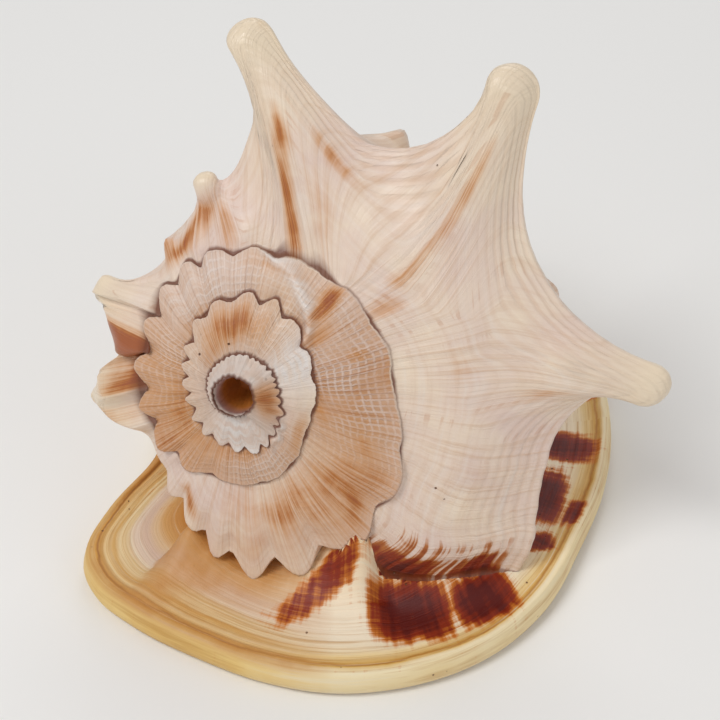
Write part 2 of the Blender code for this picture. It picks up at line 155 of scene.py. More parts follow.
@dataclass
class Coil:
    """The coiled wall of the shell, from the broken apex to the lip and the siphonal canal."""

    apex: tuple[float, float, float] = (-40.0, -32.0, 88.0)
    axis_rise: float = 22.0
    axis_left: float = 14.0
    lip_angle: float = 140.0
    turns: int = 4
    columns: int = 340
    hole_r: float = 6.7
    hole_h: float = -1.4
    hole_depth: float = 17.0
    hole_lean: float = -1.2
    hole_steps: tuple = ((0.97, 0.7), (0.93, 2.0), (0.90, 4.0), (0.86, 8.0), (0.7, 12.5))
    foot_drop: float = 1.2
    spire_slope: float = 0.40
    spire_end: float = -300.0
    suture_drop: float = 1.15
    canal_h: float = -190.0
    canal_bend_h: float = -120.0
    canal_r: float = 13.0
    canal_lift: float = 13.0
    belly_z: float = 3.5
    side_mm: float = 150.0
    row_pitch: float = 17.0
    flare: float = 4.6
    flare_mm: float = 36.0
    fall: float = 1.35
    crown: float = 0.42
    shoulder_r: list = field(default_factory=lambda: [
        (-1300, 6.4), (-1200, 8.6), (-1120, 10.8), (-1072, 12.6), (-1030, 12.9), (-992, 13.4),
        (-958, 16.0), (-920, 20.3), (-880, 19.4), (-845, 17.0), (-811, 17.0), (-781, 20.1),
        (-755, 25.0), (-731, 28.8), (-710, 29.2), (-690, 27.2), (-660, 24.6), (-630, 23.8),
        (-600, 25.4), (-576, 30.0), (-553, 34.6), (-525, 35.4), (-495, 36.4), (-465, 34.6),
        (-430, 34.6), (-400, 39.0), (-370, 42.6), (-340, 43.6), (-300, 46.2), (-271, 48.0),
        (-250, 55.0), (-235, 59.5), (-217, 63.0), (-199, 66.5), (-185, 67.5), (-172, 63.5),
        (-163, 57.0), (-150, 50.0), (-138, 45.0), (-125, 42.5), (-103, 41.0), (-88, 38.0),
        (-75, 38.5), (-61, 42.0), (-50, 46.0), (-35, 52.5), (-22, 58.5), (-5, 66.0), (12, 73.0),
        (27, 81.5), (40, 88.0), (57, 95.0), (70, 98.5), (84, 99.0), (96, 98.5), (105, 99.0),
        (114, 100.5), (123, 104.5), (130, 109.0), (140, 112.5)])
    shoulder_h: list = field(default_factory=lambda: [
        (-300, -18.5), (-250, -21.0), (-217, -22.5), (-185, -21.5), (-150, -22.0), (-110, -22.0),
        (-50, -24.0), (0, -30.0), (45, -36.0), (85, -41.0), (119, -44.0), (140, -46.0)])
    knob_r: list = field(default_factory=lambda: [
        (-1300, 0.25), (-1150, 0.45), (-1030, 0.9), (-992, 1.3), (-900, 2.6), (-760, 2.9),
        (-690, 3.2), (-640, 1.2),
        (-590, 0.8), (-545, 1.5), (-510, 4.0), (-470, 5.0), (-430, 4.6), (-400, 4.2), (-365, 3.0),
        (-345, 1.2), (-325, 1.6), (-285, 1.8), (-262, 1.0), (-244, 3.0), (-228, 6.0), (-163, 6.0),
        (-145, 2.0), (-125, 0.0), (140, 0.0)])
    knob_turns: list = field(default_factory=lambda: [
        (-1300, -57.0), (-1000, -27.0), (-900, -19.8), (-761, -12.0), (-742, -11.0), (-723, -10.0),
        (-704, -9.0), (-685, -8.0), (-514, -1.0), (-495, 0.0), (-474, 1.0), (-448, 2.0), (-427, 3.0),
        (-409, 4.0), (-395, 5.0), (-379, 6.0), (-360, 7.0), (-341, 8.0), (-320, 9.0), (-291, 10.0),
        (-262, 11.0), (-240, 12.0), (-217, 13.0), (-199, 14.0), (-185, 15.0), (-172, 16.0),
        (-162, 17.0), (-152, 18.0), (140, 40.0)])
    side_share: list = field(default_factory=lambda: [
        (0.0, 1.0), (0.05, 0.985), (0.12, 0.94), (0.22, 0.865), (0.45, 0.68), (0.65, 0.47),
        (0.82, 0.25), (1.0, 0.0)])
    rows: list = field(default_factory=lambda: [
        (0.21, 6.5, 0.040), (0.40, 4.0, 0.034), (0.57, 2.5, 0.03)])
    horns: list = field(default_factory=lambda: [
        Horn(-102.0, 58.5, -107.0, -28.0, 11.5, 0.0, 0.5, 0.0),
        Horn(-62.5, 59.8, -71.8, -31.0, 4.8, 0.0, 0.3, 0.6),
        Horn(-19.0, 67.5, -19.5, -26.0, 4.0),
        Horn(8.5, 112.5, -7.9, -36.0, 7.8, 1.8, 0.5, -0.1),
        Horn(44.5, 131.2, 33.9, -37.2, 9.6, 0.8, 0.6, 0.0),
        Horn(78.0, 133.0, 85.3, -42.0, 8.4, 1.2, 0.5, 0.0)])
    tan: list = field(default_factory=lambda: [
        (-478, -10, 60, 20, 0.72), (-232, -12, 36, 15, 0.6), (-205, -24, 32, 10, 0.45),
        (-80, -4, 5, 4, 2.4), (-88, -5, 7, 4.5, 2.6), (-97, -6, 5, 3, 1.6),
        (-118, 4, 8, 6, 0.9), (-395, -16, 20, 5, 0.5), (-348, -3, 16, 2.5, 0.5), (78, -30, 6, 4, 0.3),
        (17, -28.5, 4, 5.5, 1.1), (22, -23, 3, 3, 0.9), (32, -15, 3, 3, 0.55), (51.5, -20.5, 2.6, 3.6, 1.1),
        (49, -29.5, 3.2, 5, 0.7), (54, -43, 4, 7, 0.55), (-22, -8, 7, 3.5, 0.75), (-31, -5, 6, 3, 0.7),
        (-38, -5, 5, 3, 0.65), (-12, -15, 4, 5, 0.5), (-41, -1, 4, 3, 0.6), (30, -32, 3.5, 8, 0.35),
        (88, -18, 3, 3, 0.6), (-122, 2, 8, 5, 0.9), (-312, -18, 5, 8, 0.95), (-321, -9, 4, 5, 0.95),
        (-323, -3.7, 4, 4, 0.85), (-293, -8, 4, 3, 0.6), (-262, -25, 9, 2.2, 0.6), (-250, -12, 5, 3, 0.4),
        (-225, -8, 4, 3, 0.4), (-990, -3.8, 32, 4, 1.0), (-731, -7.5, 42, 6, 0.95), (-160, -6, 5, 3, 0.8),
        (-480, -14, 26, 4, 0.45), (-600, -2, 20, 2, 0.7), (-560, -13, 30, 4, 0.5), (-105, 8, 16, 6, 0.8),
        (-200, -20, 10, 4, 0.3), (-185, -10, 6, 4, 0.3), (139, -38, 3, 4, 0.6), (70, 40, 9, 14, 0.6),
        (20, 60, 8, 18, 0.5), (-40, 55, 10, 16, 0.6), (110, 70, 8, 20, 0.5), (45, 100, 12, 12, 0.5),
        (-95, 50, 8, 20, 0.5), (0, 28, 7, 8, 0.5), (95, 25, 5, 9, 0.4)])
    brown: list = field(default_factory=lambda: [
        (143, -29, 11, 10.5, 1.35), (143, -11, 10, 4.4, 1.25)])

    def __post_init__(self) -> None:
        """Works out the directions of the coil's frame."""
        rise, left = math.radians(self.axis_rise), math.radians(self.axis_left)
        self.up = np.array([-math.sin(left) * math.cos(rise), -math.cos(left) * math.cos(rise),
                            math.sin(rise)])
        self.right = np.array([math.cos(left), -math.sin(left), 0.0])
        self.back = np.cross(self.up, self.right)
        knee = np.linspace(0.0, 1.0, 27)
        self.ramp_v = 0.5 * knee + 0.5 * (knee ** 2 * (3 - 2 * knee))
        self.ramp_v[1], self.ramp_v[2], self.ramp_v[3] = 0.012, 0.028, 0.05
        self.side_s = np.linspace(0.0, 1.0, 62) ** 1.35
        self.first_end = self.lip_angle - TURN * (self.turns - 1)

    def place(self, r: np.ndarray, theta: np.ndarray, h: np.ndarray) -> np.ndarray:
        """Turns coil coordinates into points over the ground.

        Args:
            r: distances from the axis.
            theta: growth angles in degrees.
            h: heights along the axis.

        Returns:
            Points in millimetres, with one more dimension than the inputs.
        """
        r, angle, h = np.broadcast_arrays(np.asarray(r, float), np.radians(theta), np.asarray(h, float))
        out = (r * np.cos(angle))[..., None] * self.back + (r * np.sin(angle))[..., None] * self.right
        out = np.array(self.apex) + h[..., None] * self.up + out
        past = (h - self.canal_bend_h) / (self.canal_h - self.canal_bend_h)
        out[..., 2] += self.canal_lift * np.clip(past, 0.0, 1.2) ** 2
        return out

    def tooth(self, theta: np.ndarray) -> np.ndarray:
        """Gives the knobs along a shoulder.

        Args:
            theta: growth angles.

        Returns:
            1 on a knob and 0 in the narrow notch between two.
        """
        xs, ys = np.array(self.knob_turns, float).T
        beat = np.interp(theta, xs, ys)
        wave = np.abs(np.cos(np.pi * (beat + 0.16 * wander(beat * 1.3, 3.0))))
        return (0.25 * wave + 0.75 * wave ** 1.5) * (1.0 + 0.22 * wander(beat * 2.1, 5.0))

    def level(self, theta: np.ndarray, r: np.ndarray) -> np.ndarray:
        """Gives the height of the plain shoulder: on a cone in the old turns, then from its list."""
        return np.where(theta < self.spire_end, -self.spire_slope * r, through(self.shoulder_h, theta))

    def shoulder(self, theta: np.ndarray) -> tuple[np.ndarray, np.ndarray]:
        """Gives the shoulder edge with its knobs.

        Args:
            theta: growth angles.

        Returns:
            Radius and height of the edge.
        """
        r = through(self.shoulder_r, theta)
        reach = through(self.knob_r, theta)
        knob = self.tooth(theta)
        loose = 0.45 * wander(theta * 0.11, 1.0) + 0.2 * wander(theta * 0.9, 4.0)
        out = reach * (knob - 0.35) + loose * ease((theta + 1300) / 400)
        return r + out, self.level(theta, r) - 0.35 * out + 0.30 * reach * (knob - 0.4)

    def suture(self, theta: np.ndarray) -> tuple[np.ndarray, np.ndarray]:
        """Gives where a whorl starts: the edge one turn before, or the rim of the broken apex.

        Args:
            theta: growth angles.

        Returns:
            Radius and height of the whorl's start.
        """
        r, h = self.shoulder(theta - TURN)
        first = theta < self.first_end
        wave = 0.30 * wander(np.radians(theta) * 6.0, 2.0) + 0.12 * np.cos(np.radians(theta) * 23.0)
        return np.where(first, self.hole_r + wave, r), np.where(first, self.hole_h + wave, h)

    def ramp(self, theta: np.ndarray, v: np.ndarray) -> tuple[np.ndarray, np.ndarray]:
        """Gives the visible top of a whorl.

        Args:
            theta: growth angles.
            v: share of the way from the suture, 0, to the shoulder, 1.

        Returns:
            Radius and height of each point.
        """
        r0, h0 = self.suture(theta)
        r1, h1 = self.shoulder(theta)
        width = r1 - r0
        ring = theta < self.first_end
        before = theta - TURN
        plain = np.where(ring, self.hole_r, through(self.shoulder_r, before))
        level = np.where(ring, self.hole_h, self.level(before, plain))
        body = ease((theta + 60.0) / 120.0)
        drop = np.minimum(self.suture_drop, 0.34 * width) * (1.0 - 0.35 * ease((theta + 30) / 60))
        drop = drop + 0.4 * body
        drop = drop * (0.62 + 0.38 * ease((theta + 500.0) / 60.0))
        drop = np.where(ring, -1.3 * ease(width / 3.0), drop)
        reach, knob = through(self.knob_r, theta), self.tooth(theta)
        lift = 0.30 * reach * (knob - 0.4)
        across = (1.0 - v) * width
        outer = ease((theta + 640.0) / 60.0)
        under = 0.40 * bump(v - 0.014, 0.012) * (width > 3.0)
        fade = 1.0 + 3.0 * ease((width - 8.0) / 12.0)
        r = plain + (r1 - plain) * v + (r0 - plain) * (1.0 - v) ** fade - under
        edge_r = through(self.shoulder_r, theta)
        slope = (self.level(theta, edge_r) - level) / np.maximum(edge_r - plain, 4.0)
        surface = level + slope * (r - plain)
        surface = surface - drop * (1.0 - v) ** np.maximum(1.5, width / 5.0)
        surface = surface + lift * bump(across, 1.0 + (0.35 + 0.75 * outer) * reach)
        miss = h1 - (level + slope * (r1 - plain) + lift)
        surface = surface + miss * v ** 6
        surface = surface + width * (0.05 + 0.05 * body) * np.sin(np.pi * np.clip(v, 0, 1)) ** 2
        step = ease(v / 0.022)
        h = h0 + (surface + self.relief(theta, v, width) - h0) * step
        return r, h

    def old_lips(self, theta: np.ndarray, v: np.ndarray, width: np.ndarray,
                 more: float) -> tuple[np.ndarray, np.ndarray]:
        """Gives where the two pale old lips are.

        Args:
            theta: growth angles.
            v: share of the way across the ramp.
            width: width of the ramp.
            more: how much wider than their relief they are, in mm.

        Returns:
            The long lip and the short one, each from 0 to 1.
        """
        path = 1.0 - (theta + 353.0) / 43.0
        long = bump((v - path) * width * 0.55, 1.3 + more) * ease((theta + 362) / 8)
        path = 0.04 + (theta + 607.0) / 36.0 * 0.16
        short = bump((v - path) * width, 1.4 + more) * ease((theta + 611) / 8)
        return long * ease((-302 - theta) / 8), short * ease((-566 - theta) / 10)

    def relief(self, theta: np.ndarray, v: np.ndarray, width: np.ndarray) -> np.ndarray:
        """Gives the old lips, growth folds and spiral cords that stand out of the ramps.

        Args:
            theta: growth angles.
            v: share of the way across the ramp.
            width: width of the ramp.

        Returns:
            Height over the plain ramp.
        """
        across = (1.0 - v) * width
        long, short = self.old_lips(theta, v, width, 0.0)
        folds = 0.24 * wander(theta * 0.55 + 0.02 * across, 3.0) + 0.13 * wander(theta * 1.9, 4.0)
        dents = wander(across * 0.31 + 2.0 * wander(theta * 0.05, 7.0), 8.0) * wander(theta * 0.13, 9.0)
        folds = (folds + 0.35 * dents) * np.clip(width / 30.0, 0.2, 1.0)
        keel = ease((theta + 20.0) / 30.0) * bump(across, 13.0) * (across > 0.4)
        cords = 0.22 * keel * np.sin(math.tau * (across + 1.2 * wander(theta * 0.05, 5.0)) / 3.4)
        net = bump((theta + 285.0), 55.0) * (width > 12.0)
        mesh = 0.16 * net * np.sin(math.tau * across / 2.6) * (0.6 + 0.4 * wander(theta * 0.7, 6.0))
        return 2.3 * long + 1.7 * short + folds + cords + mesh

    def side(self, theta: np.ndarray, s: np.ndarray) -> tuple[np.ndarray, np.ndarray]:
        """Gives the last whorl under its shoulder.

        Args:
            theta: growth angles.
            s: share of the way from the shoulder, 0, to the end of the canal, 1.

        Returns:
            Radius and height of each point.
        """
        r1, h1 = self.shoulder(theta)
        plain = through(self.shoulder_r, theta)
        fuller = 0.16 * ease((20.0 - theta) / 90.0) * (1.0 - bump(theta + 84.0, 26.0))
        fuller = fuller * np.sin(np.pi * np.clip(s * 1.25, 0, 1))
        r = self.canal_r + (plain - self.canal_r) * (through(self.side_share, s) + fuller)
        wide = plain - 40.0
        for at, reach, half in self.rows:
            beat = (theta + 133 * at + 2.0 * wander(theta * 0.06, at * 9)) / self.row_pitch
            knob = 0.30 + 0.70 * (0.5 + 0.5 * np.cos(math.tau * beat)) ** 1.4
            tall = 1.0 + 1.2 * bump(theta - 23.0, 6.0) * (at < 0.3)
            r = r + reach * tall * knob * ease(wide / 50.0) * bump(s - at, half)
        r = r + (r1 - plain) * bump(s, 0.05)
        long = (self.canal_h - h1) * s
        cords = 0.25 * np.sin(math.tau * -long / 4.2) * ease(wide / 40.0)
        cords = cords * ease(s / 0.02) * ease((1 - s) / 0.2)
        folds = 0.30 * wander(theta * 0.45, 3.0) * ease(s / 0.03) * (1 - s)
        return r + cords + folds, h1 + long

    def lip_end(self, theta: np.ndarray, r: np.ndarray) -> np.ndarray:
        """Closes the last columns up on the line where the whorl meets the shield."""
        stop = 143.0 - 17.5 * ease((r - 74.0) / 36.0) + 0.6 * wander(r * 0.45, 2.0)
        return np.where(theta > 90.0, 90.0 + (theta - 90.0) * (stop - 90.0) / 50.0, theta)

    def horned(self, theta: np.ndarray, points: np.ndarray, free: np.ndarray,
               crown: float) -> tuple[np.ndarray, np.ndarray]:
        """Pulls the surface out into the horns.

        Args:
            theta: growth angle of each point.
            points: the points over the ground.
            free: how free each point is to move, 0 at a suture and 1 away from it.
            crown: how far the horns round up along the axis, as a share of their half width.

        Returns:
            The moved points, and how far each is on a horn, from 0 to 1.
        """
        out = points.copy()
        on_horn = np.zeros(points.shape[:-1])
        quarter = math.pi / 2
        for horn in self.horns:
            angle = np.array(horn.angle)
            r0 = through(self.shoulder_r, angle)
            base = self.place(r0, angle, through(self.shoulder_h, angle))
            tip = self.place(horn.tip_r, horn.tip_angle, horn.tip_h)
            length = float(np.linalg.norm(tip - base))
            offset = points - base
            mm = np.linalg.norm(offset, axis=-1)
            near = np.abs(theta - horn.angle) < 100.0
            beside = self.place(r0, horn.angle + 8.0, 0.0) - self.place(r0, horn.angle, 0.0)
            beside /= np.linalg.norm(beside)
            along = offset @ beside
            turned = 0.5 + 0.5 * np.tanh(along / (0.9 * horn.half))
            far = mm / horn.half
            steep = horn.early * (1.0 - turned) + horn.late * turned
            far = far * (1.0 + steep * ease((far - 0.8) / 1.2))
            foot = min(self.flare, self.flare_mm / horn.half)
            blunt = min(0.8, horn.half / length)
            fall = max(self.fall, (foot - quarter) * blunt / (1.0 - blunt))
            down = np.clip((far - quarter) / (foot - quarter), 0.0, 1.0)
            tall = np.where(far < quarter, 1.0 - blunt * (1.0 - np.cos(np.minimum(far, quarter))),
                            (1.0 - blunt) * (1.0 - down) ** fall)
            wide = np.where(far < quarter, np.sin(np.minimum(far, quarter)),
                            1.0 + (foot - 1.0) * down ** 2.2)
            firm = float(blunt < 0.6)
            squeeze = firm * np.where(far < foot, wide / np.maximum(far, 1e-6) - 1.0, 0.0)
            held = near * free
            axis = (tip - base) / length
            skew = (1.0 + squeeze) * (offset @ axis) * ease((tall - 0.15) / 0.5) * firm
            out -= (held * skew)[..., None] * axis
            out += (held * tall)[..., None] * (tip - base) + (held * squeeze)[..., None] * offset
            lean = np.sqrt(np.maximum(0.0, 1.0 - (along / np.maximum(mm, 1e-6)) ** 2))
            round_up = crown * horn.half * np.minimum(wide, 1.4) * lean * ease((tall - 0.06) / 0.3)
            trough = horn.groove * bump(along * (1.0 + squeeze) - 0.35 * horn.half, 0.33 * horn.half)
            trough = trough * bump(tall - 0.5, 0.28) * (crown > 0.0)
            out += (held * (round_up - trough))[..., None] * self.up
            on_horn = np.maximum(on_horn, held * tall)
        return out, on_horn

    def rest(self, points: np.ndarray, shield: "Shield") -> np.ndarray:
        """Flattens the coil softly inside the thickness of the shield.

        Args:
            points: points of the coil.
            shield: the shield that it lies in.

        Returns:
            The flattened points.
        """
        out = points.copy()
        out[..., 2] = settle(out[..., 2], shield.belly(points, self.belly_z))
        return out

    def angles(self) -> np.ndarray:
        """Works out the columns, closer together where the horns are.

        Returns:
            The growth angles of all columns, from the oldest to the lip.
        """
        fine = np.linspace(self.lip_angle, self.lip_angle + TURN, 7201)
        weight = np.ones_like(fine)
        for horn in self.horns:
            gap = (fine - horn.angle + 180.0) % 360.0 - 180.0
            weight += 0.9 * bump(gap, 13.0)
        total = np.concatenate([[0.0], np.cumsum(0.5 * (weight[1:] + weight[:-1]))])
        turn = np.interp(np.arange(self.columns) / self.columns, total / total[-1], fine)
        turn = turn - TURN * self.turns
        return np.concatenate([turn + TURN * k for k in range(self.turns)] + [[self.lip_angle]])

    def build(self, shield: "Shield") -> bpy.types.Object:
        """Makes the closed mesh of the coil.

        Args:
            shield: the shield that the coil rests in.

        Returns:
            The coil's object, with its growth coordinates as a UV map and attributes.
        """
        theta = self.angles()
        last = self.columns * (self.turns - 1)
        ramps, sides = len(self.ramp_v), len(self.side_s)
        grid_t, grid_v = np.meshgrid(theta, self.ramp_v, indexing="ij")
        r, h = self.ramp(grid_t, grid_v)
        width = through(self.shoulder_r, grid_t) - self.suture(grid_t)[0]
        ramp_points, ramp_horn = self.horned(grid_t, self.place(r, self.lip_end(grid_t, r), h),
                                               ease(grid_v * width / 3.2), self.crown)
        ramp_points = self.rest(ramp_points, shield)
        side_t, side_s = np.meshgrid(theta[last:], self.side_s[1:], indexing="ij")
        r, h = self.side(side_t, side_s)
        side_points, side_horn = self.horned(side_t, self.place(r, self.lip_end(side_t, r), h),
                                             np.ones_like(r), 0.0)
        side_points = self.rest(side_points, shield)

        index = np.zeros((len(theta), ramps), int)
        verts: list[np.ndarray] = []
        facts: list[tuple[float, float, float, float]] = []

        def keep(point: np.ndarray, fact: tuple[float, float, float, float]) -> int:
            """Keeps one vertex.

            Args:
                point: its place.
                fact: its growth angle, mm from the shoulder, horn, and darkness of the seams, which is partly
                    painted shade.

            Returns:
                The vertex's number.
            """
            verts.append(point)
            facts.append(fact)
            return len(verts) - 1

        for i, t in enumerate(theta):
            for j in range(ramps):
                if i == 0 and j > 0:
                    index[i, j] = index[0, 0]
                elif j == 0 and i >= self.columns:
                    index[i, j] = index[i - self.columns, ramps - 1]
                else:
                    off = np.array(self.ramp_v[j] * width[i, j])
                    # Darkness of the seams: brown suture colour, and painted shade in the suture's groove and
                    # in the notches between the old knobs.
                    notch = (1.0 - float(self.tooth(np.array(t - TURN)))) ** 2
                    seam = 0.42
                    if j < ramps - 1:
                        seam = float(bump(off, 0.9) + 0.7 * notch * bump(off, 1.9))
                    # Painted shade: the last column, at the crack along the lip, is darkened.
                    seam = max(seam, 0.75) if i == len(theta) - 1 else seam
                    fact = (t, -(1 - self.ramp_v[j]) * width[i, j], ramp_horn[i, j], seam)
                    index[i, j] = keep(ramp_points[i, j], fact)
        below = np.zeros((len(theta) - last, sides), int)
        for k in range(len(theta) - last):
            below[k, 0] = index[last + k, ramps - 1]
            for j in range(1, sides):
                fact = (theta[last + k], self.side_mm * self.side_s[j], side_horn[k, j - 1], 0.0)
                below[k, j] = keep(side_points[k, j - 1], fact)
        faces: list[tuple[int, ...]] = []
        corner_uv: list[tuple[float, float]] = []

        def patch(grid: np.ndarray, turn: np.ndarray, across: np.ndarray) -> None:
            """Keeps the quads of a grid, without the ones that have no width.

            Args:
                grid: numbers of the vertices.
                turn: their growth angles.
                across: their mm from the shoulder.
            """
            cells = [np.stack([g[:-1, :-1], g[1:, :-1], g[1:, 1:], g[:-1, 1:]], -1).reshape(-1, 4).tolist()
                     for g in (grid, turn, across)]
            for quad, turns, mms in zip(*cells):
                kept = {q: (t / UNIT, m / UNIT) for q, t, m in zip(quad, turns, mms)}
                if len(kept) > 2:
                    faces.append(tuple(kept))
                    corner_uv.extend(kept.values())

        patch(index, grid_t, -(1.0 - grid_v) * width)
        patch(below, np.repeat(theta[last:, None], sides, 1),
              np.tile(self.side_mm * self.side_s, (len(below), 1)))
        rings = [[int(index[i, 0]) for i in range(self.columns)]]
        for share, depth in (*self.hole_steps, (0.42, self.hole_depth)):
            lean = self.hole_lean * ease((depth - 1.0) / 3.0) * self.back
            ring = [keep(self.place(self.hole_r * share, theta[i], self.hole_h - depth) + lean,
                         (theta[i], -PIT_MM - depth, 0.0, 0.0)) for i in range(self.columns)]
            rings.append(ring)
        round_hole = np.append(theta[:self.columns], theta[0] + TURN)
        patch(np.array([ring + ring[:1] for ring in rings]), np.tile(round_hole, (len(rings), 1)),
              np.repeat(-10.0 - 4.0 * np.arange(len(rings))[:, None], self.columns + 1, 1))
        centre = self.place(0.0, 0.0, -2.0 - self.hole_depth) + self.hole_lean * self.back
        middle = keep(centre, (0.0, -PIT_MM - self.hole_depth, 0.0, 0.0))
        faces += [(rings[-1][i - 1], rings[-1][i], middle) for i in range(self.columns)]
        corner_uv += [(0.0, -0.4)] * 3 * self.columns
        end = below[:, -1].tolist()
        tip = keep(np.mean([verts[i] for i in end], 0), (0.0, self.side_mm, 0.0, 0.0))
        faces += [(end[i], end[i + 1], tip) for i in range(len(end) - 1)]
        corner_uv += [(0.0, self.side_mm / UNIT)] * 3 * (len(end) - 1)
        edge = index[-1, :].tolist() + below[-1, 1:].tolist()
        foot = [edge[0]]
        for i in edge[1:-1]:
            p = np.array(verts[i])
            p[2] = float(shield.belly(p, self.belly_z)) - self.foot_drop
            # Painted shade: the foot of the crack along the lip is dark.
            foot.append(keep(p, (self.lip_angle, facts[i][1], 0.0, 1.0)))
        foot.append(edge[-1])
        edge_mm = np.array([facts[i][1] for i in edge])
        patch(np.array([edge, foot]), self.lip_angle + np.array([[0.0], [2.0]]) + 0.0 * edge_mm,
              np.stack([edge_mm, edge_mm]))
        start = below[0].tolist()
        i = j = 0
        while i < len(foot) - 1 or j < len(start) - 1:
            ahead = (i + 1) / (len(foot) - 1) <= (j + 1) / (len(start) - 1)
            step_foot = j == len(start) - 1 or (i < len(foot) - 1 and ahead)
            corners = (foot[i], start[j], foot[i + 1] if step_foot else start[j + 1])
            if len(set(corners)) == 3:
                faces.append(corners)
                corner_uv += [(self.lip_angle / UNIT, facts[c][1] / UNIT) for c in corners]
            i, j = (i + 1, j) if step_foot else (i, j + 1)
        faces.append((foot[-1], start[-1], tip))
        corner_uv += [(self.lip_angle / UNIT, self.side_mm / UNIT)] * 3
        obj = make_object("coil", np.array(verts), faces, corner_uv)
        obj.data.polygons.foreach_set("material_index", [Zone.WALL.value] * len(obj.data.polygons))
        self.mark(obj, np.array(facts), theta, width)
        return obj

    def mark(self, obj: bpy.types.Object, facts: np.ndarray, theta: np.ndarray, width: np.ndarray) -> None:
        """Stores what the wall's finish reads: horns, seams and their painted shade, pit, stains and age.

        Args:
            obj: the coil.
            facts: each vertex's growth angle, mm from the shoulder, horn, and darkness of the seams with its
                painted shade.
            theta: growth angles of the columns.
            width: width of the ramp, by column and row.
        """
        turn, across, horn, seam = facts.T
        depth = np.maximum(0.0, -across - PIT_MM)
        across = np.where(depth > 0.0, -500.0, across)
        ramp = across < 0
        store(obj, "horn", horn)
        store(obj, "seam", seam)
        # Depth into the pit; the finish tints it there, partly as painted shade and glow.
        store(obj, "pit", np.clip(depth / 12.0, 0.0, 1.0))
        for name, stains in (("tan", self.tan), ("brown", self.brown)):
            store(obj, name, sum(deep * bump(turn - t, dt) * bump(across - a, da)
                                 for t, a, dt, da, deep in stains))
        near = bump(turn + 285.0, 62.0) + 0.75 * ease((turn + 640) / 60) * ease((-330 - turn) / 60)
        near = near * ramp + 0.5 * ease((-640 - turn) / 40)
        store(obj, "age", np.clip(near, 0.0, 1.0) * (depth == 0))
        whole = np.interp(turn, theta[:: 4], width[:: 4, 0])
        long, short = self.old_lips(turn, 1.0 + across / np.maximum(whole, 1.0), whole, 0.2)
        pale = bump(turn + 662.0, 22.0) + bump(turn + 905.0, 40.0) + 0.6 * ease((-1010.0 - turn) / 20.0)
        pale = pale + 0.9 * (long + short) * (across <= 0)
        pale = pale + 0.45 * bump(turn + 395.0, 26.0) * bump(across + 6.0, 9.0) * ramp
        store(obj, "white", np.clip(pale, 0.0, 1.0))
        store(obj, "keel", ease((turn + 20.0) / 30.0) * bump(across + 8.0, 9.0) * (across < -0.4))


